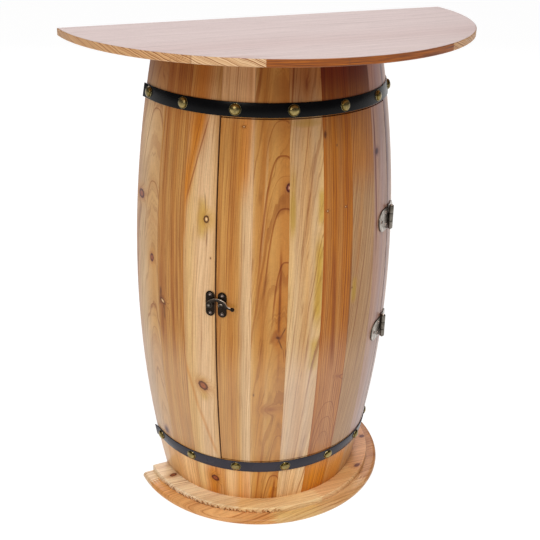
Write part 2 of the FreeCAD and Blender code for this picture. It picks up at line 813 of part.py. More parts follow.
def make_latch():
    """Plate, hook and rivet on the fixed stave; keeper plate with its stud on the door."""
    left = make_latch_plate("latch_plate", RIVET_X)
    bore = latch_sketch(left, "rivet_hole", "0")
    draw_circle(bore, RIVET_X, MIDDLE, "rivet_radius + rivet_clearance")
    cut_through(left, bore)
    make_latch_hook()

    right = make_latch_plate("keeper_plate", "plate_right_offset")
    stud = latch_sketch(right, "stud", "latch_plate_thickness / 2")
    draw_circle(stud, "stud_offset", MIDDLE, "stud_radius")
    raised = pad(right, stud, "stud_height")
    crest = value("mid_radius + latch_plate_thickness / 2 + stud_height")

    def at_crest(edge):
        """Whether an edge is the rim of the stud's outer end."""
        return abs(edge.BoundBox.YMin + crest) < NEAR and edge.BoundBox.YLength < NEAR

    bevelled = bevel_edges(right, raised, "stud_bevel", at_crest)
    right.Tip = bevelled

    screw = screw_head("latch_plate_thickness")
    rivet_top = value("hub_lift + hub_height + rivet_head_gap")
    rivet = domed_head(value("rivet_head_radius"), value("rivet_head_height"), value("rivet_head_height") / 3,
                       value("rivet_radius"), rivet_top, NAIL_SIDES, 1)
    plane = FreeCAD.Rotation(FreeCAD.Vector(0, 0, 1), value(LATCH_ANGLE))
    outward = FreeCAD.Rotation(FreeCAD.Vector(1, 0, 0), 90)

    def seat(x, rise, height):
        """Placement on the latch's plane with Z outward."""
        spot = FreeCAD.Vector(value(x), -value("mid_radius") - height, value(MIDDLE) + rise)
        return FreeCAD.Placement(plane.multVec(spot), plane.multiply(outward))

    lift = value("latch_plate_thickness")
    rise = value("latch_screw_rise")
    fastener_group("latch_plate_screws", screw, [seat(RIVET_X, rise, lift), seat(RIVET_X, -rise, lift)])
    spot = "plate_right_offset"
    fastener_group("keeper_screws", screw, [seat(spot, rise, lift), seat(spot, -rise, lift)])
    fastener_group("hook_rivet", rivet, [seat(RIVET_X, 0, rivet_top)])


# ---------------------------------------------------------------- the cabinet

bevelled_disc("table_top", "top_radius", BARREL_TOP, "top_thickness", "top_edge_bevel")
bevelled_disc("lower_plinth", "lower_plinth_radius", "0", "lower_plinth_thickness", "lower_plinth_bevel")
bevelled_disc("upper_plinth", "upper_plinth_radius", "lower_plinth_thickness",
              "upper_plinth_thickness", "upper_plinth_bevel")
inner_board("top_board", f"({BARREL_TOP} - board_thickness)")
inner_board("ceiling_board", f"({LINTEL} - stop_lap)")
inner_board("floor_board", f"({SILL} + stop_lap - board_thickness)")
inner_board("base_board", PLINTH_TOP)
make_shelf()
make_back_panel()
make_staves()
make_door_battens()
make_hoop("top_hoop", TOP_HOOP, "0")
make_hoop("bottom_hoop", BOTTOM_HOOP, "bottom_nails_angle")
make_hoop_nails("top_hoop_nails", TOP_HOOP, "0")
make_hoop_nails("bottom_hoop_nails", BOTTOM_HOOP, "bottom_nails_angle")
make_hinges()
make_latch()

doc.recompute()
for item in doc.Objects:
    if "Invalid" in item.State or "Error" in item.State:
        raise RuntimeError(f"{item.Label} failed to build: {item.State}")
for piece in PIECES:
    if piece.Shape.isNull() or not piece.Shape.isValid():
        raise RuntimeError(f"{piece.Label} has no valid shape")

os.makedirs("parts", exist_ok=True)
for piece in PIECES:
    piece.Shape.exportStep(f"parts/{piece.Label}.step")
print(len(PIECES), "pieces written")
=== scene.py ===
import math
from functools import partial
from itertools import zip_longest

import bmesh
import bpy
import numpy as np
from mathutils import Matrix, Vector


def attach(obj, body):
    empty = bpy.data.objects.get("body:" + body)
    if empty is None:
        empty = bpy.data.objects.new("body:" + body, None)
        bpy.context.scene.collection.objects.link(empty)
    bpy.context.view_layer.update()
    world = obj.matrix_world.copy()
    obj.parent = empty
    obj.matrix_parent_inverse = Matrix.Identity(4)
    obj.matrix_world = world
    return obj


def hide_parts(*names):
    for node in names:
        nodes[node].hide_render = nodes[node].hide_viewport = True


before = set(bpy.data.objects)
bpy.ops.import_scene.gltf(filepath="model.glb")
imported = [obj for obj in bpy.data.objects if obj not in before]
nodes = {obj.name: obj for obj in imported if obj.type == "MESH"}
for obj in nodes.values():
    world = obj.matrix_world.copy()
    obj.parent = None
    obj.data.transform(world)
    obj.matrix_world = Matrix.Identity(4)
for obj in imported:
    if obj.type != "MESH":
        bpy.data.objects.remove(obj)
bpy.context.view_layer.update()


# ---------------------------------------------------------------- camera, floor and light
# A white studio: a floor lit from below that runs out of sight, a soft light from the front left, one from
# the ceiling, and a long one behind the table that gives its top a glare. The camera looks down from the left.

def linear(colour, alpha=1.0):
    """The linear red, green, blue and alpha of an sRGB colour such as '#C8A070'."""
    parts = np.array([int(colour[place:place + 2], 16) for place in (1, 3, 5)]) / 255
    parts = np.where(parts <= 0.04045, parts / 12.92, ((parts + 0.055) / 1.055) ** 2.4)
    return (*parts, alpha)


def add(tree, kind, *values, **settings):
    """Adds a node of a kind, or the Math node of an operation, which is written in capitals.

    Each value goes to the next input: a node or socket is linked, None is passed over.
    """
    if kind.isupper():
        kind, settings = "Math", dict(settings, operation=kind)
    node = tree.nodes.new("ShaderNode" + kind)
    for name, setting in settings.items():
        setattr(node, name, setting)
    for socket, value in zip(node.inputs, values):
        if isinstance(value, bpy.types.Node):
            value = value.outputs[0]
        if isinstance(value, bpy.types.NodeSocket):
            tree.links.new(value, socket)
        elif value is not None:
            socket.default_value = value
    return node


def new_material(name):
    """An empty material: its node tree and its output node's surface socket."""
    material = bpy.data.materials.new(name)
    material.use_nodes = True
    tree = material.node_tree
    tree.nodes.clear()
    return material, tree, tree.nodes.new("ShaderNodeOutputMaterial").inputs["Surface"]


def finish_shader(tree, surface, **inputs):
    """Adds the Principled shader with its inputs by name, and links it to the material's surface."""
    shader = tree.nodes.new("ShaderNodeBsdfPrincipled")
    for name, value in inputs.items():
        socket = shader.inputs[name.replace("_", " ")]
        if isinstance(value, bpy.types.Node):
            value = value.outputs[0]
        if isinstance(value, bpy.types.NodeSocket):
            tree.links.new(value, socket)
        else:
            socket.default_value = value
    tree.links.new(shader.outputs[0], surface)


scene = bpy.context.scene
scene.view_settings.view_transform = "Standard"

CAMERA_PLACE = (-0.5815, -1.0929, 0.948)
YAW, PITCH, ROLL = (math.radians(angle) for angle in (25.788, 24.004, 1.272))
LENS_MM = 63.253
ahead = Vector((math.sin(YAW) * math.cos(PITCH), math.cos(YAW) * math.cos(PITCH), -math.sin(PITCH)))
level = Vector((math.cos(YAW), -math.sin(YAW), 0))
upward = level.cross(ahead)
across = math.cos(ROLL) * level + math.sin(ROLL) * upward
above = math.cos(ROLL) * upward - math.sin(ROLL) * level
lens = bpy.data.cameras.new("camera")
lens.lens = LENS_MM
lens.clip_end = 50
camera = bpy.data.objects.new("camera", lens)
camera.matrix_world = Matrix.Translation(CAMERA_PLACE) @ Matrix((across, above, -ahead)).transposed().to_4x4()
scene.collection.objects.link(camera)
scene.camera = camera

world = bpy.data.worlds.new("studio")
world.use_nodes = True
world.node_tree.nodes["Background"].inputs["Color"].default_value = linear("#F4F1F4")
world.node_tree.nodes["Background"].inputs["Strength"].default_value = 0.13
scene.world = world

for name, place, target, size, power, colour in (
        ("window_light", (-2.1, -1.7, 2.2), (0, 0.05, 0.35), (1.2, 1.2), 30, "#FFF8EE"),
        ("ceiling_light", (-0.3, -1.6, 3.2), (0, -0.05, 0), (1.4, 1.4), 58, "#FFFCF6"),
        ("rear_light", (0.9, 2.8, 2.0), (0, 0.1, 0.7), (3.0, 1.4), 45, "#FFF0F4")):
    lamp = bpy.data.lights.new(name, "AREA")
    lamp.shape = "RECTANGLE"
    lamp.size, lamp.size_y = size
    lamp.energy = power
    lamp.color = linear(colour)[:3]
    light = bpy.data.objects.new(name, lamp)
    light.location = place
    light.rotation_euler = (Vector(target) - Vector(place)).to_track_quat("-Z", "Y").to_euler()
    scene.collection.objects.link(light)

floor_mesh = bpy.data.meshes.new("floor")
floor_mesh.from_pydata([(-30, -30, 0), (30, -30, 0), (30, 30, 0), (-30, 30, 0)], [], [(0, 1, 2, 3)])
floor = bpy.data.objects.new("floor", floor_mesh)
scene.collection.objects.link(floor)
# matt white paper with light behind it: even, and without an edge
paper, tree, surface = new_material("white_paper")
finish_shader(tree, surface, Base_Color=linear("#787878"), Roughness=0.9, Specular_IOR_Level=0.2,
              Emission_Color=linear("#FFFFFF"), Emission_Strength=0.95)
floor_mesh.materials.append(paper)


# ---------------------------------------------------------------- staves
# Twelve fir staves round the half barrel, planed, sanded and clear varnished. The six in the middle
# are sawn into lintel, door and sill, so the grain runs on through the three pieces. They are glued
# edge to edge, and each board keeps its own colour, rings and knots.

MIDDLE = 370
GIRTH = 200
SWELL_RADIUS = 1652.083
BACK = 147.5
DOOR_SIDES = -42.8, 44.2
DOOR_FOOT, DOOR_HEAD = 98, 632
# heights in millimetres below which the staves get painted light
PAINTED_FOOT_LIGHT_FADES = 76, 82
# heights in millimetres over which the painted reflection of the floor rises and fades on the staves
PAINTED_REFLECTION_RISES, PAINTED_REFLECTION_FADES = (80, 125), (235, 325)
# heights in millimetres over which the painted shadow of the table top comes in on the staves
PAINTED_TOP_SHADOW_RISES = 585, 690
TONES = {
    "pearl": "#EACA9A", "cream": "#E0BC90", "straw": "#DCB57A", "fawn": "#D0AE82", "sand": "#D0A46C",
    "honey": "#C6924E", "caramel": "#B97C38", "ochre": "#B87014", "amber": "#B26410", "tawny": "#CA7E1E",
    "rust": "#8C4410", "late": "#B67E46", "bark": "#5E3218", "wine": "#6A2A22", "lemon": "#C29A34",
    "dun": "#B68E60", "clay": "#BE8654", "blush": "#C69C7A", "rose": "#B48A72", "lilac": "#A8867E",
    "haze": "#EFE2DE", "glow": "#F4DAB6",
}


def set_stops(node, stops):
    """Gives a colour ramp its (place, colour, alpha) stops."""
    elements = node.color_ramp.elements
    while len(elements) < len(stops):
        elements.new(0.5)
    for element, (place, colour, alpha) in zip(elements, stops):
        element.position = place
    for element, (place, colour, alpha) in zip(elements, stops):
        element.color = linear(colour, alpha)
    return node


def new_group(name, inputs, outputs):
    """A node group with number sockets: its tree, its input node's sockets and its output node's."""
    tree = bpy.data.node_groups.new(name, "ShaderNodeTree")
    for label in inputs:
        tree.interface.new_socket(label, in_out="INPUT", socket_type="NodeSocketFloat")
    for label in outputs:
        tree.interface.new_socket(label, in_out="OUTPUT", socket_type="NodeSocketFloat")
    return tree, tree.nodes.new("NodeGroupInput").outputs, tree.nodes.new("NodeGroupOutput").inputs


def close_group(tree, sockets, **results):
    """Links a group's results, nodes or sockets, to its output sockets."""
    for name, result in results.items():
        tree.links.new(result if isinstance(result, bpy.types.NodeSocket) else result.outputs[0], sockets[name])


def stretched(node, *pairs):
    """A vector of values times factors: a texture's place, drawn out along the values with small factors."""
    return node("CombineXYZ", *(node("MULTIPLY", value, factor) for value, factor in pairs))


# place on a stave, in millimetres: round the barrel, below the face and up from the floor
stave_place, given, taken = new_group("stave_place", [], ["Across", "Depth", "Along"])
node = partial(add, stave_place)
apart = node("SeparateXYZ", node("TexCoord").outputs["Object"])
forward = node("SUBTRACT", BACK / 1000, apart.outputs[1])
turn = node("ARCTAN2", apart.outputs[0], forward)
reach = node("VectorMath", node("CombineXYZ", apart.outputs[0], forward), operation="LENGTH")
along = node("MULTIPLY", apart.outputs[2], 1000)
rise = node("SUBTRACT", along, MIDDLE)
sag = node("DIVIDE", node("MULTIPLY", rise, rise), 2 * SWELL_RADIUS)
outside = node("SUBTRACT", GIRTH, sag)
reach_mm = node("MULTIPLY", reach.outputs["Value"], 1000)
close_group(stave_place, taken, Across=node("MULTIPLY", turn, GIRTH), Depth=node("SUBTRACT", outside, reach_mm),
            Along=along)

# the grain of a flat-sawn board: growth rings round a pith behind the face, which comes nearer to the face
# or leaves it along the board, and the fine and broad streaks that follow the same rings
fir_grain, given, taken = new_group(
    "fir_grain", ["Across", "Depth", "Along", "Pith_across", "Pith_depth", "Rise", "Lean", "Spacing", "Seed"],
    ["Line", "Fine", "Broad"])
node = partial(add, fir_grain)
rise = node("SUBTRACT", given["Along"], MIDDLE)
leaned = node("MULTIPLY_ADD", rise, given["Lean"], given["Pith_across"])
sideways = node("SUBTRACT", given["Across"], leaned)
pith = node("MULTIPLY_ADD", rise, given["Rise"], given["Pith_depth"])
inward = node("ADD", pith, given["Depth"])
ring = node("VectorMath", node("CombineXYZ", sideways, inward), operation="LENGTH").outputs["Value"]
count = node("DIVIDE", ring, given["Spacing"])
spot = node("CombineXYZ", given["Across"], given["Depth"], node("MULTIPLY", given["Along"], 0.12))
waver = node("TexNoise", spot, given["Seed"], 0.05, 3.0, 0.55, noise_dimensions="4D")
wavered = node("MULTIPLY_ADD", node("SUBTRACT", waver, 0.5), 1.6, count)
uneven = node("TexNoise", None, node("ADD", wavered, given["Seed"]), 0.6, 1.0, noise_dimensions="1D")
years = node("MULTIPLY_ADD", node("SUBTRACT", uneven, 0.5), 1.4, wavered)
line = set_stops(node("ValToRGB", node("FRACT", years)), [
    (0.0, "#808080", 1), (0.05, "#000000", 1), (0.55, "#181818", 1), (0.76, "#606060", 1), (0.86, "#FFFFFF", 1),
    (0.97, "#FFFFFF", 1)])
year = node("ADD", node("FLOOR", years), given["Seed"])
weight = node("MULTIPLY_ADD", node("TexWhiteNoise", None, year, noise_dimensions="1D"), 1.0, 0.35)
fading, fine, broad = (
    node("TexNoise", stretched(node, (years, over), (given["Along"], up)), given["Seed"], 1.0, *detail,
         noise_dimensions="4D")
    for over, up, *detail in ((0.3, 0.007, 2.0), (3.1, 0.012, 3.0, 0.68), (0.7, 0.0045, 2.0, 0.6)))
fading = node("MapRange", fading, 0.35, 0.6, 0.45, 1.0)
close_group(fir_grain, taken, Fine=fine, Broad=broad, Line=node("MULTIPLY", node("MULTIPLY", line, weight), fading))

# distance from a knot's middle, in a frame turned by its tilt: 1 on the knot's rim, which is a little uneven
knot_reach, given, taken = new_group(
    "knot_reach", ["Across", "Along", "Knot_across", "Knot_along", "Width", "Height", "Tilt"], ["Reach"])
node = partial(add, knot_reach)
spot = node("CombineXYZ", node("SUBTRACT", given["Across"], given["Knot_across"]),
            node("SUBTRACT", given["Along"], given["Knot_along"]))
turned = node("VectorRotate", spot, (0, 0, 0), (0, 0, 1), given["Tilt"], rotation_type="Z_AXIS")
half = node("CombineXYZ", given["Width"], given["Height"], 1.0)
ragged = node("TexNoise", spot, given["Knot_along"], 0.35, 2.0, 0.6, noise_dimensions="4D")
sized = node("VectorMath", node("VectorMath", turned, half, operation="DIVIDE"), operation="LENGTH").outputs["Value"]
close_group(knot_reach, taken, Reach=node("MULTIPLY", sized, node("MULTIPLY_ADD", ragged, 0.5, 0.75)))

# a soft-edged streak along a leaning line, faded out at both ends
streak_mask, given, taken = new_group(
    "streak_mask", ["Across", "Along", "Foot_across", "Foot_along", "Slope", "Width", "Length"], ["Mask"])
node = partial(add, streak_mask)
up = node("SUBTRACT", given["Along"], given["Foot_along"])
middle_line = node("MULTIPLY_ADD", up, given["Slope"], given["Foot_across"])
off = node("ABSOLUTE", node("SUBTRACT", given["Across"], middle_line))
side = node("MapRange", node("DIVIDE", off, given["Width"]), 0.0, 1.0, 1.0, 0.0, interpolation_type="SMOOTHERSTEP")
share = node("DIVIDE", up, given["Length"])
foot = node("MapRange", share, 0.0, 0.25, interpolation_type="SMOOTHSTEP")
head = node("MapRange", share, 0.75, 1.0, 1.0, 0.0, interpolation_type="SMOOTHSTEP")
ends = node("MULTIPLY", foot, head)
close_group(streak_mask, taken, Mask=node("MULTIPLY", side, ends))

# one late-wood line that stands out: a tongue whose arms fall with the cube of the way from its tip
tongue_mask, given, taken = new_group(
    "tongue_mask", ["Across", "Along", "Tip_across", "Tip_along", "Bend", "Width", "Length"], ["Mask"])
node = partial(add, tongue_mask)
off = node("ABSOLUTE", node("SUBTRACT", given["Across"], given["Tip_across"]))
square = node("MULTIPLY", node("MULTIPLY", off, off), given["Bend"])
down = node("SUBTRACT", given["Tip_along"], given["Along"])
past = node("SUBTRACT", down, node("MULTIPLY", square, off))
steep = node("VectorMath", node("CombineXYZ", 1.0, node("MULTIPLY", square, 3.0)), operation="LENGTH").outputs["Value"]
away = node("DIVIDE", node("DIVIDE", past, steep), given["Width"])
outer = node("MapRange", away, -0.5, 0.0, interpolation_type="SMOOTHSTEP")
inner = node("MapRange", away, 0.3, 2.2, 1.0, 0.0, interpolation_type="SMOOTHERSTEP")
faded = node("MapRange", node("DIVIDE", down, given["Length"]), 0.5, 1.0, 1.0, 0.0)
close_group(tongue_mask, taken, Mask=node("MULTIPLY", node("MULTIPLY", outer, inner), faded))

KNOTS = {
    "red": [(0.0, "#8A3C20", 0.95), (0.08, "#A0522E", 0.95), (0.13, "#7C3820", 0.95), (0.19, "#481810", 1.0),
            (0.225, "#5A2416", 0.95), (0.26, "#A8602A", 0.6), (0.45, "#BC8030", 0.3), (0.8, "#B87834", 0.0)],
    "ringed": [(0.0, "#D8B4A0", 0.95), (0.07, "#B4745A", 0.95), (0.13, "#5A2018", 1.0), (0.22, "#4A1A12", 1.0),
               (0.27, "#8A4E2A", 0.6), (0.42, "#A8662E", 0.25), (0.8, "#A8662E", 0.0)],
    "dark": [(0.0, "#6A3026", 0.9), (0.14, "#5A2018", 0.9), (0.22, "#4E1E16", 0.95), (0.27, "#7A4228", 0.6),
             (0.42, "#A86A3A", 0.2), (0.8, "#A86A3A", 0.0)],
    "pale": [(0.0, "#F4DEC0", 1.0), (0.09, "#D0A060", 1.0), (0.15, "#4A260E", 1.0), (0.21, "#5A3012", 0.95),
             (0.27, "#B0802A", 0.65), (0.5, "#C49430", 0.45), (0.95, "#C49430", 0.0)],
    "pip": [(0.0, "#F0D8B8", 1.0), (0.09, "#D0A060", 1.0), (0.15, "#5A2C10", 0.9), (0.21, "#6A3414", 0.8),
            (0.3, "#8E5220", 0.4), (0.6, "#8E5220", 0.0)],
    "soft": [(0.0, "#8A4A22", 0.75), (0.2, "#944F24", 0.6), (0.35, "#A0602E", 0.35), (0.7, "#A86A38", 0.12),
             (1.0, "#A86A38", 0.0)],
    "plum": [(0.0, "#3E1A20", 1.0), (0.2, "#4E262A", 0.95), (0.36, "#7A4A46", 0.45), (0.7, "#946A60", 0.0)],
    "speck": [(0.0, "#4A2412", 0.9), (0.2, "#5A3018", 0.7), (0.4, "#9A6434", 0.2), (0.8, "#9A6434", 0.0)],
    "olive": [(0.0, "#A8862C", 0.55), (0.14, "#A8862C", 0.4), (0.25, "#A8862C", 0.0)],
}


def fir(name, place, board, dress=None):
    """The material of one fir board.

    place is the group that gives millimetres across the grain, below the face and along the grain. board has
    bands, the (across, tone) stops of its colour; pith, its (across, depth, rise, lean) in millimetres;
    rings, their (spacing, strength, tone); streaks, tongues and knots, each with its own place; edges, its
    two sides; gap, the side along which the door's gap runs, with a painted shade line beside it;
    painted_reflection, the (share, tone) of a painted reflection of the bright floor on the staves' low part;
    top, the colour of a painted shadow of the table top on the upper part, also a painted lilac glare on the
    right staves; foot, how much lighter it is below the bottom hoop, which is painted light; gloss, the
    varnish's specular level; and sheen, its least roughness.
    dress, where a section gives one, takes the node adder and the colour, and returns the colour as it lays it.

    Fir is pale between its rings and reddish brown in them. The clear varnish deepens both, and gives the face
    a soft sheen where it is seen aslant.
    """
    material, tree, surface = new_material(name)
    node = partial(add, tree)
    across, depth, along = node("Group", node_tree=place).outputs
    seed = float(sum(map(ord, name)) % 97)

    slow = stretched(node, (across, 0.02), (depth, 0.02), (along, 0.006))
    drift = node("TexNoise", slow, seed, 1.0, 2.0, noise_dimensions="4D")
    drifted = node("MULTIPLY_ADD", node("SUBTRACT", drift, 0.5), 7.0, across)

    # broad bands of colour across the board, and stains along it
    low, high = board["bands"][0][0], board["bands"][-1][0]
    colour = set_stops(node("ValToRGB", node("MapRange", drifted, low, high)), [
        ((place_mm - low) / (high - low), TONES[tone], 1) for place_mm, tone in board["bands"]])
    for foot_across, foot_along, head_across, head_along, width, tone, share in board.get("streaks", ()):
        slope = (head_across - foot_across) / (head_along - foot_along)
        mask = node("Group", drifted, along, foot_across, foot_along, slope, width, head_along - foot_along,
                    node_tree=streak_mask)
        colour = node("MixRGB", node("MULTIPLY", mask, share), colour, linear(TONES[tone]))

    # knots, and how far each pushes the rings aside
    reaches = []
    pushed = drifted
    for knot_across, knot_along, width, height, tilt, kind in board.get("knots", ()):
        reach = node("Group", across, along, knot_across, knot_along, width, height, math.radians(tilt),
                     node_tree=knot_reach)
        reaches.append((reach, kind))
        if kind not in ("speck", "olive"):
            shove = node("MapRange", reach, 0.6, 3.2, 1.0, 0.0, interpolation_type="SMOOTHERSTEP")
            pushed = node("MULTIPLY_ADD", shove, width * 1.3, pushed)

    # late wood darkens and reddens what lies under it
    spacing, strength, late = board["rings"]
    grain = node("Group", pushed, depth, along, *board["pith"], spacing, seed, node_tree=fir_grain)
    line, fine, broad = grain.outputs
    ring_mask = node("MULTIPLY", line, strength, use_clamp=True)
    streaky = node("MapRange", broad, 0.42, 0.68, 0.0, strength * 0.55)
    pencilled = node("MapRange", fine, 0.54, 0.66, 0.0, strength * 0.8)
    masks = [ring_mask, streaky, pencilled]
    for tip_across, tip_along, bend, width, length, share in board.get("tongues", ()):
        tongue = node("Group", drifted, along, tip_across, tip_along, bend, width, length, node_tree=tongue_mask)
        masks.append(node("MULTIPLY", tongue, share))
    for mask in masks:
        colour = node("MixRGB", mask, colour, linear(TONES[late]), blend_type="MULTIPLY")

    # fibres: short fine lines along the grain, and a mottling left by sanding
    hair = stretched(node, (across, 0.8), (depth, 0.8), (along, 0.018))
    fibre = node("TexNoise", hair, seed, 1.0, 2.0, 0.6, noise_dimensions="4D")
    fleck = node("TexNoise", node("CombineXYZ", across, depth, along), seed, 0.35, 4.0, 0.75, noise_dimensions="4D")
    light = node("MULTIPLY_ADD", node("SUBTRACT", fibre, 0.5), 0.36, 1.0)
    light = node("MULTIPLY_ADD", node("SUBTRACT", fine, 0.5), -0.5, light)
    light = node("MULTIPLY_ADD", node("SUBTRACT", fleck, 0.5), 0.34, light)
    # painted light: the staves are made lighter below the bottom hoop
    if "foot" in board:
        lit = node("MapRange", along, *PAINTED_FOOT_LIGHT_FADES, 1.0, 0.0, interpolation_type="SMOOTHSTEP")
        light = node("MULTIPLY_ADD", lit, board["foot"], light)
    colour = node("MixRGB", 1.0, colour, node("CombineXYZ", light, light, light), blend_type="MULTIPLY")

    # the knots themselves, then a painted reflection of the floor low down and a painted shadow of the table top high
    # up
    for reach, kind in reaches:
        tint = set_stops(node("ValToRGB", node("MULTIPLY", reach, 0.22)), KNOTS[kind])
        colour = node("MixRGB", tint.outputs["Alpha"], colour, tint)
    # painted reflection: low on the staves, which lean towards the bright floor, the colour is mixed towards a pale
    # tone
    if "painted_reflection" in board:
        painted_reflection = node("MULTIPLY", node("MapRange", along, *PAINTED_REFLECTION_FADES, 1.0, 0.0, interpolation_type="SMOOTHSTEP"),
                     node("MapRange", along, *PAINTED_REFLECTION_RISES, interpolation_type="SMOOTHSTEP"))
        share, tone = board["painted_reflection"]
        colour = node("MixRGB", node("MULTIPLY", painted_reflection, share), colour, linear(TONES[tone]))
    # painted shadow: the upper part is multiplied by the board's top colour where the table top shades it; on the right
    # staves that colour is also a painted lilac glare
    if "top" in board:
        high_up = node("MapRange", along, *PAINTED_TOP_SHADOW_RISES, interpolation_type="SMOOTHSTEP")
        colour = node("MixRGB", high_up, colour, linear(board["top"]), blend_type="MULTIPLY")

    if dress:
        colour = dress(node, colour)

    # the glue line, or the rounded arris, at the board's two sides
    height = node("MULTIPLY_ADD", ring_mask, 0.05, node("MULTIPLY", fibre, 0.08))
    if "edges" in board:
        left, right = board["edges"]
        off = node("MINIMUM", node("SUBTRACT", across, left), node("SUBTRACT", right, across))
        joint = node("MapRange", off, 0.1, 0.6, 1.0, 0.0, interpolation_type="SMOOTHSTEP")
        uneven = node("TexNoise", None, node("MULTIPLY", along, 0.02), 1.0, 2.0, noise_dimensions="1D")
        gappy = node("MapRange", uneven, 0.3, 0.7, 0.02, 0.35)
        colour = node("MixRGB", node("MULTIPLY", joint, gappy), colour, linear(TONES["bark"]))
        height = node("MULTIPLY_ADD", joint, -0.3, height)
    # painted shade: a dark line beside the door's gap
    if "gap" in board:
        off = node("ABSOLUTE", node("SUBTRACT", across, board["gap"]))
        beside = node("MULTIPLY", node("MapRange", off, 0.4, 1.5, 0.85, 0.0, interpolation_type="SMOOTHSTEP"),
                      node("MapRange", along, DOOR_FOOT, DOOR_FOOT + 1))
        beside = node("MULTIPLY", beside, node("MapRange", along, DOOR_HEAD - 1, DOOR_HEAD, 1.0, 0.0))
        colour = node("MixRGB", beside, colour, linear("#4A2010"))

    rough = node("MULTIPLY_ADD", fibre, 0.1, board.get("sheen", 0.26))
    finish_shader(tree, surface, Base_Color=colour, Roughness=rough, Specular_IOR_Level=board.get("gloss", 0.2),
                  Normal=node("Bump", 0.3, 0.001, None, height))
    return material


def paint(name, material):
    """Gives a node of the frame its material."""
    nodes[name].data.materials.clear()
    nodes[name].data.materials.append(material)


def turned_mm(angle):
    """Millimetres round the barrel at its widest for an angle from the front."""
    return math.radians(angle) * GIRTH
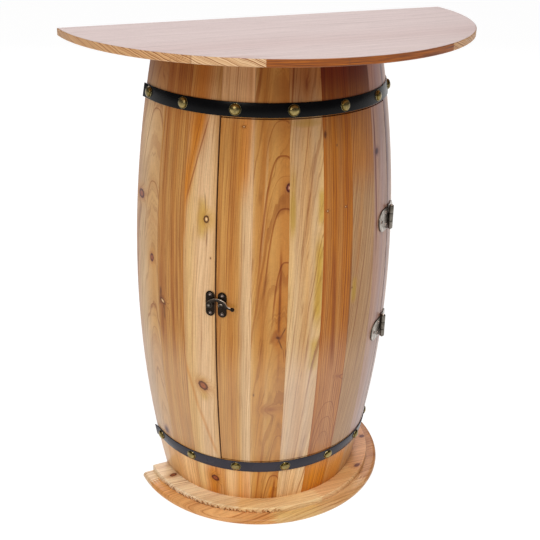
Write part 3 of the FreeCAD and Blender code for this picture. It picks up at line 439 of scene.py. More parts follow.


# On each stave, top is the colour of a painted shadow of the table top (on the right also a painted glare), foot is
# painted light below the bottom hoop, and the pale veil low down is a painted reflection of the floor.
STAVES = [
    dict(nodes=["left_stave_1"], edges=(-90, -71.8), top="#C4A47C", foot=0.3,
         painted_reflection=(0.12, "haze"),
         bands=[(-90, "blush"), (-85, "fawn"), (-82, "fawn"), (-78, "sand"), (-75, "sand"), (-71.8, "sand")],
         pith=(-76, 52, 0.075, 0.0), rings=(4.6, 0.5, "late"),
         knots=[(-85.3, 497, 8, 6.2, 0, "red"), (-75.7, 411, 4.0, 5.8, 5, "red"), (-77.2, 110, 4.5, 4.5, 10, "plum")],
         streaks=[(-74.5, 250, -74.0, 470, 14, "honey", 0.6), (-80, 530, -80, 650, 34, "pearl", 0.5)],
         tongues=[(-76.6, 624, 0.004, 1.2, 130, 0.6), (-75.6, 524, 0.008, 1.2, 120, 0.6),
                  (-75.5, 338, 0.02, 1.0, 70, 0.4), (-75.5, 300, 0.02, 1.0, 70, 0.4)]),
    dict(nodes=["left_stave_2"], edges=(-71.8, -57.3), top="#CCB09C", foot=0.4,
         painted_reflection=(0.2, "glow"),
         bands=[(-71.8, "honey"), (-69, "caramel"), (-66, "honey"), (-63, "caramel"), (-60, "honey"),
                (-57.3, "caramel")],
         pith=(-10, 80, 0.02, 0.0), rings=(3.6, 0.75, "late"),
         knots=[(-69.0, 351, 6.6, 3.4, 35, "pip")],
         streaks=[(-69.8, 270, -69.4, 430, 7, "rust", 0.5), (-70.8, 340, -69.9, 376, 4.5, "bark", 0.75),
                  (-68.4, 318, -68.6, 360, 3.5, "bark", 0.6), (-63.4, 300, -63.9, 510, 1.6, "rust", 0.6),
                  (-60.6, 290, -61.0, 530, 2.0, "rust", 0.5), (-58.6, 280, -59.0, 540, 1.4, "rust", 0.4),
                  (-70.5, 500, -70.0, 660, 3, "sand", 0.5),
                  (-64.5, -20, -64.5, 100, 50, "pearl", 0.5)]),
    dict(nodes=["left_stave_3"], edges=(-57.3, -42.8), top="#CEB898", foot=0.2,
         painted_reflection=(0.06, "glow"),
         bands=[(-57.3, "sand"), (-54.5, "straw"), (-50, "cream"), (-46, "cream"), (-42.8, "sand")],
         pith=(-104, 40, 0.0, 0.05), rings=(4.4, 0.42, "late"),
         knots=[(-47.0, 491.5, 4.0, 5.2, 0, "pale"), (-49.3, 231, 8.0, 6.0, 38, "red"),
                (-47.0, 54, 7.0, 5.2, 20, "red"), (-44.9, 437, 0.9, 1.2, 0, "speck")],
         streaks=[(-59.0, 486, -49.5, 668, 15, "tawny", 0.9), (-54.0, 560, -50.0, 790, 30, "tawny", 0.8),
                  (-57.4, 440, -56.6, 600, 4, "tawny", 0.6), (-57.6, 500, -46.2, 646, 2.0, "rust", 0.7),
                  (-56.2, 540, -49.6, 660, 1.2, "rust", 0.5), (-56.9, 440, -55.4, 600, 1.2, "rust", 0.45),
                  (-49.4, 456, -48.8, 528, 13, "lemon", 0.62),
                  (-47.5, 496, -47.9, 530, 0.9, "bark", 0.8), (-46.8, 450, -46.6, 488, 0.9, "bark", 0.8),
                  (-49.0, 200, -49.8, 250, 12, "lemon", 0.5),
                  (-58.2, 275, -51.5, 172, 5, "tawny", 0.5), (-52.8, 196, -43.5, 96, 5, "tawny", 0.5),
                  (-49.5, -30, -46.5, 100, 30, "tawny", 0.95), (-46.4, 20, -45.6, 96, 4, "rust", 0.5)]),
    dict(nodes=["upper_stave_1", "door_stave_1", "lower_stave_1"], edges=(-42.8, -28.3), top="#F2EAE4", foot=0.35,
         painted_reflection=(0.13, "glow"),
         bands=[(-42.8, "caramel"), (-40, "honey"), (-36, "caramel"), (-33.6, "honey"), (-31.6, "fawn"),
                (-28.3, "cream")],
         pith=(-88, 60, 0.02, 0.03), rings=(3.6, 0.62, "late"),
         knots=[(-32.6, 619, 2.4, 1.4, 0, "pip"), (-26.6, 224, 1, 3, 0, "speck")],
         streaks=[(-32.4, 500, -30.0, 780, 17, "tawny", 0.8), (-29.4, 90, -29.2, 590, 2.6, "pearl", 0.5),
                  (-36.5, 620, -36.5, 780, 80, "cream", 0.7),
                  (-31.0, -30, -31.0, 100, 24, "tawny", 0.5), (-38.0, -20, -38.0, 100, 22, "pearl", 0.6),
                  (-38.6, 380, -37.0, 600, 2, "rust", 0.35), (-41.5, 240, -40.5, 420, 2, "rust", 0.3)]),
    dict(nodes=["upper_stave_2", "door_stave_2", "lower_stave_2"], edges=(-28.3, -13.8), top="#E0D6D0", foot=0.25,
         painted_reflection=(0.14, "glow"),
         bands=[(-28.3, "sand"), (-26.8, "honey"), (-24, "caramel"), (-20, "honey"), (-16, "caramel"),
                (-13.8, "caramel")],
         pith=(-15, 64.4, 0.068, 0.0), rings=(5.0, 0.5, "late"),
         knots=[(-13.9, 540, 4.4, 5.6, 0, "ringed"), (-16.8, 323, 5.0, 3.0, 0, "soft"),
                (-17.3, 322, 2.6, 1.8, 20, "speck"),
                (-19.7, 200, 8.0, 4.4, 0, "soft"), (-19.5, 200, 4.2, 2.4, 0, "soft"),
                (-13.6, 290, 0.8, 10, -8, "speck"), (-26.9, 226, 0.9, 2, 0, "speck")],
         tongues=[(-16.4, 583, 0.0048, 1.6, 230, 0.75), (-15.5, 512.5, 0.0066, 1.5, 160, 0.75),
                  (-14.7, 437, 0.016, 1.5, 120, 0.75), (-16.7, 628, 0.004, 0.9, 60, 0.5),
                  (-15.0, 556, 0.003, 0.7, 160, 0.35), (-15.2, 150, 0.02, 1.0, 80, 0.5),
                  (-16.4, 70, 0.012, 1.6, 70, 0.7)],
         streaks=[(-17.0, 306, -16.6, 470, 3.0, "rust", 0.85), (-17.4, 290, -16.9, 400, 9, "amber", 0.5),
                  (-17.1, 318, -16.8, 400, 2.6, "bark", 0.6),
                  (-20.2, 310, -17.4, 338, 6, "rust", 0.6),
                  (-17.6, 312, -13.9, 340, 2.0, "bark", 0.9), (-15.2, 300, -18.2, 332, 1.8, "bark", 0.85),
                  (-14.6, 278, -15.1, 306, 0.9, "rust", 0.8), (-17.0, 240, -16.8, 310, 3, "rust", 0.35),
                  (-24.5, 420, -22.0, 620, 3, "sand", 0.6), (-22.0, 100, -21.5, 300, 5, "sand", 0.35),
                  (-16.4, 10, -15.6, 66, 3.4, "rust", 0.8), (-17.6, 10, -17.2, 50, 5, "tawny", 0.7)]),
    dict(nodes=["upper_stave_3", "door_stave_3", "lower_stave_3"], edges=(-13.8, 0.7), top="#B69072", foot=0.3,
         painted_reflection=(0.22, "haze"),
         bands=[(-13.8, "straw"), (-11, "fawn"), (-6, "sand"), (-3, "fawn"), (0.7, "straw")],
         pith=(4, 62, 0.06, 0.0), rings=(3.3, 0.6, "late"),
         knots=[(-6.1, 671, 2.0, 6, 0, "soft"), (-6.5, 623, 24, 6, 0, "olive"), (-12.4, 506, 5, 30, 0, "olive")],
         streaks=[(-1.2, 322, -0.6, 482, 12, "lemon", 0.85), (-1.8, 255, -1.4, 320, 12, "lemon", 0.7),
                  (-0.4, 480, -0.2, 540, 8, "lemon", 0.7), (-5.0, -20, -5.0, 100, 60, "pearl", 0.4),
                  (-12.6, 460, -12.0, 575, 8, "lemon", 0.5), (-12.8, 90, -12.6, 380, 4, "pearl", 0.4)]),
    dict(nodes=["upper_stave_4", "door_stave_4", "lower_stave_4"], edges=(0.7, 15.2), top="#8E5820", foot=0.3,
         painted_reflection=(0.07, "haze"),
         bands=[(0.7, "amber"), (3, "caramel"), (6, "ochre"), (9, "caramel"), (11, "ochre"), (15.2, "ochre")],
         pith=(44, 46, 0.03, 0.0), rings=(3.8, 0.68, "late"),
         knots=[(2.4, 503, 2.0, 1.6, 0, "pip"), (11.2, 504, 1.8, 1.4, 0, "pip"), (1.7, 606, 2.0, 4.0, 0, "speck"),
                (12.3, 237, 5, 2.2, 25, "soft"), (7.3, 590, 0.8, 1.4, 0, "speck")],
         tongues=[(8.0, 196, 0.006, 1.0, 100, 0.5), (8.0, 168, 0.008, 1.0, 90, 0.5), (8.0, 140, 0.01, 1.0, 80, 0.45)],
         streaks=[(8.0, 60, 8.4, 345, 45, "clay", 0.8), (7.6, 240, 5.6, 470, 6, "rust", 0.75),
                  (12.2, 290, 12.0, 610, 1.4, "rust", 0.5), (15.3, 250, 15.0, 470, 3.2, "bark", 0.6),
                  (5.2, 380, 5.0, 640, 2.0, "rust", 0.4), (9.0, -20, 9.0, 100, 60, "tawny", 0.6),
                  (6.6, 420, 6.4, 700, 1.2, "rust", 0.6), (10.2, 330, 10.0, 700, 1.0, "rust", 0.5),
                  (13.6, 260, 13.4, 700, 1.2, "rust", 0.5)]),
    dict(nodes=["upper_stave_5", "door_stave_5", "lower_stave_5"], edges=(15.2, 29.7), top="#845020", foot=0.3,
         painted_reflection=(0.08, "haze"),
         bands=[(15.2, "dun"), (22, "dun"), (27, "dun"), (29.7, "dun")],
         pith=(-24, 60, 0.02, 0.13), rings=(4.2, 0.66, "late"),
         knots=[(17.1, 374, 5, 14, 0, "olive"), (15.9, 380, 0.9, 1.2, 0, "speck")],
         streaks=[(21, 500, 23, 780, 110, "ochre", 0.8), (17.6, 380, 21.6, 560, 7, "caramel", 0.4),
                  (17.0, 350, 17.2, 400, 8, "lemon", 0.7), (22.0, -20, 22.0, 100, 60, "tawny", 0.8),
                  (28.6, 300, 28.0, 560, 3, "caramel", 0.3)]),
    # the rose and lilac tones of this stave and the next are the fir's colour mixed with a painted glare, the pinkish
    # sheen of the right side
    dict(nodes=["upper_stave_6", "door_stave_6", "lower_stave_6"], edges=(29.7, 44.2), top="#E2D2D8", foot=0.1,
         painted_reflection=(0.12, "haze"),
         bands=[(29.7, "rose"), (33, "rose"), (38, "lilac"), (44.2, "rose")],
         pith=(46, 74, 0.05, 0.0), rings=(4.8, 0.4, "late"),
         knots=[(32.6, 566, 4.0, 3.8, 0, "plum"), (41.1, 159, 1.6, 3, 10, "speck")],
         streaks=[(31.6, 400, 31.2, 660, 3.6, "wine", 0.9), (40, 300, 39, 520, 5, "blush", 0.4),
                  (37.0, -20, 37.0, 100, 60, "honey", 0.7)]),
    dict(nodes=["right_stave_1"], edges=(44.2, 58.7), top="#E6DEE6", foot=0.1,
         painted_reflection=(0.1, "haze"),
         bands=[(44.2, "lilac"), (50, "rose"), (58.7, "sand")], pith=(50, 66, 0.055, 0.0),
         rings=(4.6, 0.5, "late"), knots=[(52, 300, 4, 7, 15, "red")],
         # the wine streaks along this stave's edge by the door are a painted shadow of the door's gap
         streaks=[(45.0, -120, 45.0, 860, 4, "wine", 0.7), (45.8, 480, 45.8, 740, 13, "wine", 0.9)]),
    dict(nodes=["right_stave_2"], edges=(58.7, 73.2), top="#A4806E", foot=0.1,
         painted_reflection=(0.1, "haze"),
         bands=[(58.7, "honey"), (66, "sand"), (73.2, "caramel")], pith=(106, 80, 0.02, 0.0),
         rings=(3.6, 0.65, "late"), knots=[(68, 560, 3, 5, -20, "pale")]),
    dict(nodes=["right_stave_3"], edges=(73.2, 90), top="#A4806E", foot=0.1,
         painted_reflection=(0.1, "haze"),
         bands=[(73.2, "cream"), (80, "sand"), (90, "cream")], pith=(80, 58, 0.06, 0.0),
         rings=(4.6, 0.5, "late"), knots=[(83, 200, 4, 6, 0, "red")]),
]

for number, stave in enumerate(STAVES, start=1):
    board = dict(stave)
    board["edges"] = tuple(map(turned_mm, stave["edges"]))
    for marks in ("bands", "knots", "tongues"):
        board[marks] = [(turned_mm(mark[0]), *mark[1:]) for mark in stave.get(marks, ())]
    board["pith"] = (turned_mm(stave["pith"][0]), *stave["pith"][1:])
    for side in set(DOOR_SIDES) & set(stave["edges"]):
        board["gap"] = turned_mm(side)
    board["streaks"] = []
    for foot, foot_up, head, head_up, *rest in stave.get("streaks", ()):
        (low_up, low), (high_up, high) = sorted([(foot_up, foot), (head_up, head)])
        board["streaks"].append((turned_mm(low), low_up, turned_mm(high), high_up, *rest))
    material = fir(f"fir_stave_{number}", stave_place, board)
    for name in stave["nodes"]:
        paint(name, material)


# ---------------------------------------------------------------- hoops
# Two flat iron straps, hot blackened and waxed, bent round the staves just above and just below the
# door and nailed there. The last few millimetres at each end spring off the staves.

HOOP_LEVELS = {"top_hoop": 640.3, "bottom_hoop": 88.7}
HOOP_WIDTH = 19
HOOP_THICKNESS = 1.5
HOOP_CLEARANCE = 0.05
TAIL_DEGREES, TAIL_SPRING = 6, 2.2


def barrel_radius(level):
    """Millimetres from the barrel's axis to the staves' face: the swell is an arc over the barrel's height."""
    return GIRTH - SWELL_RADIUS + np.sqrt(SWELL_RADIUS ** 2 - (level - MIDDLE) ** 2)


SHARP = math.radians(40)


def closed_piece(name, material, body, slot, *grids, wear_and_painted_light=(), stands_for=()):
    """A piece of closed surfaces, each a rows x columns x 3 grid in millimetres.

    The columns run round and meet, the first and last rows close on a point, and a surface whose
    volume comes out negative is turned the other way round. The list given after the grids holds a number for
    each point of each grid, which the material reads as an attribute of the same name: on the nails it marks
    real wear and patina, on the hinges and screws mostly painted shade, and on the latch painted highlights.
    """
    corners, faces, worn = [], [], []
    count = 0
    for grid, amount in zip_longest(grids, wear_and_painted_light, fillvalue=0):
        rows, columns = grid.shape[:2]
        row, column = np.meshgrid(np.arange(rows - 1), np.arange(columns), indexing="ij")
        beside = (column + 1) % columns
        quads = np.stack([row * columns + column, row * columns + beside,
                          (row + 1) * columns + beside, (row + 1) * columns + column], -1).reshape(-1, 4)
        points = grid.reshape(-1, 3) / 1000
        first, second, third, fourth = (points[quads[:, place]] - points[0] for place in range(4))
        volume = (first * (np.cross(second, third) + np.cross(third, fourth))).sum()
        corners.append(points)
        worn.append(np.broadcast_to(amount, grid.shape[:2]).ravel())
        faces.append((quads if volume > 0 else quads[:, ::-1]) + count)
        count += len(points)
    mesh = bpy.data.meshes.new(name)
    mesh.from_pydata(np.vstack(corners), [], np.vstack(faces).tolist())
    mesh.attributes.new("wear_and_painted_light", "FLOAT", "POINT").data.foreach_set("value", np.concatenate(worn).astype(np.float32))
    shell = bmesh.new()
    shell.from_mesh(mesh)
    bmesh.ops.remove_doubles(shell, verts=shell.verts, dist=1e-6)
    bmesh.ops.dissolve_degenerate(shell, edges=shell.edges, dist=1e-7)
    shell.to_mesh(mesh)
    shell.free()
    mesh.shade_smooth()
    mesh.set_sharp_from_angle(angle=SHARP)
    mesh.materials.append(material)
    piece = bpy.data.objects.new(name, mesh)
    scene.collection.objects.link(piece)
    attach(piece, body)
    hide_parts(*stands_for)


def rounded_section(width, height, radius, steps=4):
    """Points round a rectangle with rounded corners, as (x, y) from its middle."""
    turn = np.linspace(0, np.pi / 2, steps)
    arc = np.stack([np.cos(turn), np.sin(turn)], -1) * radius
    quarter = arc + (width / 2 - radius, height / 2 - radius)
    mirrored = quarter[::-1] * (-1, 1)
    return np.vstack([quarter, mirrored, -quarter, -mirrored])


# hot-blackened iron under wax: near black, with a glare where it is seen aslant, and a painted reflection of
# the bright floor that turns the bottom hoop slate grey. Its scale has grains of about 4 mm, coarser than real
# ones, which wouldn't show.
iron, tree, surface = new_material("blackened_iron")
node = partial(add, tree)
spot = node("TexCoord").outputs["Object"]
scale = node("TexNoise", spot, None, 240.0, 4.0, 0.6)
cloud = node("TexNoise", spot, None, 28.0, 2.0, 0.5)
colour = node("MixRGB", cloud, linear("#020203"), linear("#08080B"))
# painted reflection: slate grey low down, on the bottom hoop, which faces the bright floor
painted_floor_reflection = node("MapRange", node("SeparateXYZ", spot).outputs[2], 0.2, 0.5, 1.0, 0.0)
colour = node("MixRGB", painted_floor_reflection, colour, node("MixRGB", cloud, linear("#2A2930"), linear("#3E3C46")))
rough = node("MapRange", cloud, 0.3, 0.7, 0.2, 0.3)
finish_shader(tree, surface, Base_Color=colour, Roughness=rough, Specular_IOR_Level=0.13,
              Normal=node("Bump", 0.12, 0.0004, None, scale))

for name, level_mm in HOOP_LEVELS.items():
    lean = math.asin((level_mm - MIDDLE) / SWELL_RADIUS)
    angle = np.radians(np.linspace(-90, 90, 241))[:, None]
    section = rounded_section(HOOP_WIDTH, HOOP_THICKNESS, 0.45)
    up, out = section[:, 0], section[:, 1] + HOOP_CLEARANCE + HOOP_THICKNESS / 2
    tail = np.clip((np.abs(np.degrees(angle)) - 90 + TAIL_DEGREES) / TAIL_DEGREES, 0, 1)
    spring = TAIL_SPRING * tail ** 2
    radius = barrel_radius(level_mm) + (out + spring) * math.cos(lean) - up * math.sin(lean)
    height = level_mm + up * math.cos(lean) + (out + spring) * math.sin(lean)
    strap = np.stack([radius * np.sin(angle), BACK - radius * np.cos(angle), height + 0 * angle], -1)
    ends = strap.mean(axis=1, keepdims=True)[[0, -1]] + 0 * strap[:1]
    strap = np.concatenate([ends[:1], strap, ends[1:]])
    closed_piece(name + "_strap", iron, "cabinet", "hoop_iron", strap, stands_for=[name])


# ---------------------------------------------------------------- hoop nails
# Eight domed upholsterer's nails hold each hoop. They are brass, die struck and aged dark in the
# hollows, with a thin rolled rim that the polishing has left bright.

# aged brass: dull gold, brown in the hollows and pale where the rim has been rubbed. The patina comes in patches
# of 6 mm, the pits are 1 mm apart.
brass, tree, surface = new_material("aged_brass")
node = partial(add, tree)
spot = node("TexCoord").outputs["Object"]
patina = node("TexNoise", spot, None, 160.0, 3.0, 0.6)
pits = node("TexNoise", spot, None, 900.0, 2.0, 0.5)
polish = node("Attribute", attribute_name="wear_and_painted_light").outputs["Fac"]
colour = set_stops(node("ValToRGB", patina), [(0.3, "#463A18", 1), (0.5, "#74602A", 1), (0.72, "#A08A50", 1)])
grime = node("MapRange", polish, 0.0, 0.5, 1.0, 0.0)
colour = node("MixRGB", grime, colour, linear("#221A0C"))
colour = node("MixRGB", node("MapRange", polish, 0.5, 1.0), colour, linear("#C8BC90"))
finish_shader(tree, surface, Base_Color=colour, Metallic=1.0, Roughness=node("MapRange", patina, 0.3, 0.7, 0.34, 0.2),
              Normal=node("Bump", 0.25, 0.0004, None, pits))

NAIL_RADIUS = 8
NAIL_HEIGHT = 4.6
NAIL_COUNT, NAIL_STEP = 8, 24.3
NAIL_ANGLES = NAIL_STEP * (np.arange(NAIL_COUNT) - (NAIL_COUNT - 1) / 2)


def turned(profile, sides=32):
    """Rows round Z for (radius, height) pairs."""
    angle = np.linspace(0, 2 * np.pi, sides, endpoint=False)
    radius, height = np.array(profile, float).T[:, :, None]
    return np.stack([radius * np.cos(angle), radius * np.sin(angle), height + 0 * angle], -1)


def seat(degrees, level_mm, lift, across=0, up=0):
    """The frame on the staves' face at an angle and level: its foot, and its across, up and outward directions."""
    angle, lean = math.radians(degrees), math.asin((level_mm - MIDDLE) / SWELL_RADIUS)
    outward = np.array([math.sin(angle) * math.cos(lean), -math.cos(angle) * math.cos(lean), math.sin(lean)])
    sideways = np.array([math.cos(angle), math.sin(angle), 0])
    upward = np.cross(outward, sideways)
    radius = barrel_radius(level_mm)
    foot = np.array([radius * math.sin(angle), BACK - radius * math.cos(angle), level_mm])
    return foot + outward * lift + sideways * across + upward * up, (sideways, upward, outward)


def seated(shape, foot, axes):
    """A shape drawn round Z with its underside at 0, moved to its seat."""
    return foot + shape @ np.array(axes)


swell = np.radians(np.linspace(0, 84, 11))
dome = [(7.35 * math.sin(turn) / math.sin(swell[-1]), 0.6 + (NAIL_HEIGHT - 0.6) * math.cos(turn)) for turn in swell]
nail = turned(dome + [(7.5, 0.75), (7.85, 0.72), (NAIL_RADIUS, 0.4), (NAIL_RADIUS - 0.05, 0), (0, 0)])
nail_wear = np.array([0.6] * 7 + [0.5, 0.35, 0.15, 0.0, 0.2, 1.0, 0.8, 0, 0])[:, None]
NAILS_TURNED = {"top_hoop": 0, "bottom_hoop": 1.2}
for name, level_mm in HOOP_LEVELS.items():
    lift = HOOP_CLEARANCE + HOOP_THICKNESS
    closed_piece(name + "_studs", brass, "cabinet", "nail_brass",
                 *(seated(nail, *seat(degrees + NAILS_TURNED[name], level_mm, lift)) for degrees in NAIL_ANGLES),
                 wear_and_painted_light=[nail_wear] * NAIL_COUNT, stands_for=[name + "_nails"])


# ---------------------------------------------------------------- plinth boards
# Two half-round boards, each glued up from finger-jointed fir blocks. The lower one has a rounded nose.
# The upper one was sawn round with a jigsaw, which tore its edge at the front left and was left so.

LOWER_PLINTH = 204, 0, 10
UPPER_PLINTH = 187, 10, 20


def half_board(radius, low, high, edge, arc=161, chord=41):
    """A half-round board as closed rows: middle of the top, down its edge, middle of the underside.

    edge lists (inset, height share) pairs from top to bottom; either may hold one number for each
    of the arc's angles. The straight back edge stays upright.
    """
    angle = np.radians(np.linspace(-90, 90, arc))
    rows = []
    for inset, share in edge:
        reach = radius - inset + 0 * angle
        height = low + (high - low) * share + 0 * angle
        round_edge = np.stack([reach * np.sin(angle), BACK - reach * np.cos(angle), height], -1)
        back_x = np.linspace(reach[-1], -reach[0], chord + 2)[1:-1]
        back_edge = np.stack([back_x, BACK + 0 * back_x, height[0] + 0 * back_x], -1)
        rows.append(np.vstack([round_edge, back_edge]))
    top = np.broadcast_to((0, BACK - radius * 0.4, high), rows[0].shape)
    under = np.broadcast_to((0, BACK - radius * 0.4, low), rows[0].shape)
    return np.stack([top, *rows, under])


def board_place(name, along_axis, across_axis, face_mm, depth_axis=2):
    """A group that gives a flat board's millimetres across the grain, below its face and along the grain."""
    tree, given, taken = new_group(name, [], ["Across", "Depth", "Along"])
    node = partial(add, tree)
    apart = node("SeparateXYZ", node("TexCoord").outputs["Object"])
    mm = [node("MULTIPLY", socket, 1000) for socket in apart.outputs]
    close_group(tree, taken, Across=mm[across_axis], Along=mm[along_axis],
                Depth=node("SUBTRACT", face_mm, mm[depth_axis]))
    return tree


def round_place(node):
    """Sockets for a half-round board: degrees round its middle from the front, and millimetres out from it."""
    apart = node("SeparateXYZ", node("TexCoord").outputs["Object"])
    forward = node("SUBTRACT", BACK / 1000, apart.outputs[1])
    degrees = node("DEGREES", node("ARCTAN2", apart.outputs[0], forward))
    reach = node("VectorMath", node("CombineXYZ", apart.outputs[0], forward), operation="LENGTH").outputs["Value"]
    return degrees, node("MULTIPLY", reach, 1000), apart.outputs[2]


def finger_joint(node, angle, reach, at, tooth):
    """1 on the clockwise side of a zigzag glue line across a board at an angle, with teeth of so many degrees."""
    wave = node("PINGPONG", node("MULTIPLY", reach, 0.22), 0.5)
    line = node("MULTIPLY_ADD", wave, tooth * 2, angle)
    return node("MapRange", line, at + tooth / 2 - 0.15, at + tooth / 2 + 0.15)


def lay_blocks(node, colour, tooth, blocks):
    """Lays blocks clockwise: each (angle, tone) starts at a finger joint and multiplies the colour by its tone."""
    angle, reach, _ = round_place(node)
    laid = colour
    for at, tone in blocks:
        tinted = node("MixRGB", 1.0, colour, linear(tone), blend_type="MULTIPLY")
        laid = node("MixRGB", finger_joint(node, angle, reach, at, tooth), laid, tinted)
    return laid, reach


def lower_plinth_blocks(node, colour):
    """The lower plinth's blocks, browner on the rounded nose."""
    laid, reach = lay_blocks(node, colour, 5.0, (
        (-81, "#FAD6AE"), (-17, "#FFF8D8"), (5, "#F8EAD6"), (14, "#F2DCC4"), (37, "#D6B294")))
    rim = node("MapRange", reach, LOWER_PLINTH[0] - 5, LOWER_PLINTH[0] - 0.5, interpolation_type="SMOOTHSTEP")
    return node("MixRGB", node("MULTIPLY", rim, 0.28), laid, linear("#B46C2C"))


TONES |= {"shell": "#FAE4C0"}
lower_plinth_place = board_place("lower_plinth_place", 0, 1, LOWER_PLINTH[2])
lower_fir = fir("fir_lower_plinth", lower_plinth_place, dict(
    bands=[(-70, "shell"), (-40, "pearl"), (-10, "shell"), (30, "shell"), (90, "pearl"), (150, "shell")],
    pith=(60, 60, 0.0, 0.12), rings=(4.2, 0.6, "late"),
    knots=[(40, 175, 3, 6, 0, "soft")]), lower_plinth_blocks)
nose_radius = (LOWER_PLINTH[2] - LOWER_PLINTH[1]) / 2
nose = [(nose_radius * (1 - math.sin(turn)), (1 + math.cos(turn)) / 2) for turn in np.radians(np.linspace(0, 180, 13))]
closed_piece("lower_plinth_board", lower_fir, "cabinet", "fir_plinth",
             half_board(*LOWER_PLINTH, nose), stands_for=["lower_plinth"])


def upper_plinth_blocks(node, colour):
    """The upper plinth's blocks."""
    return lay_blocks(node, colour, 3.0, ((-34, "#FFF4DC"), (8, "#F6DCC0"), (38, "#F0CCB0")))[0]


upper_plinth_place = board_place("upper_plinth_place", 0, 1, UPPER_PLINTH[2])
upper_fir = fir("fir_upper_plinth", upper_plinth_place, dict(
    bands=[(-70, "shell"), (-30, "shell"), (0, "pearl"), (60, "shell"), (150, "shell")],
    pith=(160, 70, 0.0, -0.06), rings=(3.6, 0.5, "late"),
    knots=[(109, -166, 3.2, 5.5, 10, "red"), (13, 120, 2.6, 5, 20, "dark"), (83, 170, 3, 4, 10, "dark")]),
    upper_plinth_blocks)

# the saw's tear: the sound edge ends in a lip, below which the wood has broken away tooth by tooth
TEAR_STEPS = 1081
TEETH = 100
TORN_FROM, TORN_TO, TORN_FADE = -80, -9, 6
angle = np.linspace(-90, 90, TEAR_STEPS)
rng = np.random.default_rng(7)
tooth_at = np.cumsum(rng.uniform(1.6, 3.0, TEETH)) - 92
tooth_depth = rng.uniform(3.0, 5.0, TEETH)
tooth_lip = rng.uniform(0.35, 0.65, TEETH)
which = np.clip(np.searchsorted(tooth_at, angle) - 1, 0, TEETH - 1)
share = np.clip((angle - tooth_at[which]) / np.diff(tooth_at, append=tooth_at[-1] + 2)[which], 0, 1)
torn = np.clip((angle - TORN_FROM) / TORN_FADE, 0, 1) * np.clip((TORN_TO - angle) / TORN_FADE, 0, 1)
whole = np.random.default_rng(3).uniform(0, 1, TEETH)[which] < 0.25
torn = np.where(whole, 0.15 * torn, torn)
lip = 0.12 + torn * tooth_lip[which] * np.clip(1.3 * (1 - share), 0, 1)
gone = tooth_depth[which] * torn * np.clip(4 * (1 - share), 0, 1)
tear = [(0.7, 1.0), (0.2, 0.95), (0.0, 0.86), (0.0, lip + 0.06), (0.15, lip), (gone, lip - 0.02), (gone + 0.1, 0.0)]
closed_piece("upper_plinth_board", upper_fir, "cabinet", "fir_plinth",
             half_board(*UPPER_PLINTH, tear, arc=TEAR_STEPS), stands_for=["upper_plinth"])


# ---------------------------------------------------------------- table top
# One half-round board glued up from long fir strips, sanded, with a satin varnish that takes the light
# from behind. The saw has cut straight and slanting grain along its edge, and two finger joints.

TOP_RADIUS, TOP_LEVEL, TOP_THICKNESS = 295, 730, 10
RIM_PER_DEGREE = 5.15


def top_edge(node, colour):
    """The sawn edge: end grain hatched aslant at both sides, long grain in the middle, and two glued joints."""
    angle, reach, height = round_place(node)
    down = node("MULTIPLY", node("SUBTRACT", TOP_LEVEL / 1000, height), 1000)
    round_mm = node("MULTIPLY", angle, RIM_PER_DEGREE)
    slant = node("MULTIPLY_ADD", down, -2.6, round_mm)
    swerve = node("TexNoise", None, node("MULTIPLY", round_mm, 0.03), 1.0, 2.0, noise_dimensions="1D")
    hatch = node("TexNoise", None, node("MULTIPLY_ADD", swerve, 16.0, slant), 0.26, 2.0, 0.55, noise_dimensions="1D")
    end_grain = set_stops(node("ValToRGB", hatch), [(0.4, "#DCBC94", 1), (0.53, "#C89C6E", 1), (0.62, "#8C5424", 1)])
    lined = node("TexNoise", stretched(node, (round_mm, 0.016), (down, 0.9)), None, 1.0, 3.0, 0.65)
    long_grain = set_stops(node("ValToRGB", lined), [(0.36, "#5E2A00", 1), (0.5, "#8A4600", 1), (0.64, "#AE6004", 1)])
    browned = node("MixRGB", 1.0, end_grain, linear("#F4E6D2"), blend_type="MULTIPLY")
    edge = browned
    for at, block in ((-41.5, end_grain), (-24.5, long_grain), (28.5, browned)):
        edge = node("MixRGB", node("MapRange", angle, at - 0.1, at + 0.1), edge, block)
    for at in (-41.5, -5.5):
        mark = node("MapRange", node("ABSOLUTE", node("SUBTRACT", angle, at)), 0.1, 0.35, 0.4, 0.0)
        edge = node("MixRGB", mark, edge, linear("#6E3E16"))
    # a small knot that the saw has cut through, with its rings curled round it
    curl = node("Group", round_mm, down, -44.5 * RIM_PER_DEGREE, 4.5, 7.0, 2.6, 0.3, node_tree=knot_reach)
    curls = node("PINGPONG", node("MULTIPLY", curl, 1.6), 0.5)
    curled = node("MULTIPLY", node("MapRange", curls, 0.3, 0.5), node("MapRange", curl, 1.4, 2.0, 1.0, 0.0))
    edge = node("MixRGB", node("MULTIPLY", curled, 0.7), edge, linear("#8A5420"))
    rim = node("MapRange", reach, TOP_RADIUS - 1.8, TOP_RADIUS - 0.8)
    on_edge = node("MULTIPLY", rim, node("MapRange", down, 0.15, 0.5))
    colour = node("MixRGB", on_edge, colour, edge)
    # the back edge and the underside were never varnished
    y = node("SeparateXYZ", node("TexCoord").outputs["Object"]).outputs[1]
    behind = node("MapRange", y, (BACK - 0.2) / 1000, (BACK - 0.1) / 1000)
    under = node("MapRange", down, TOP_THICKNESS - 0.2, TOP_THICKNESS - 0.1)
    bare = node("MAXIMUM", behind, under)
    fresh = node("MixRGB", 1.0, colour, linear("#FFDCA8"), blend_type="MULTIPLY")
    return node("MixRGB", node("MULTIPLY", bare, node("SUBTRACT", 1.0, on_edge)), colour, fresh)


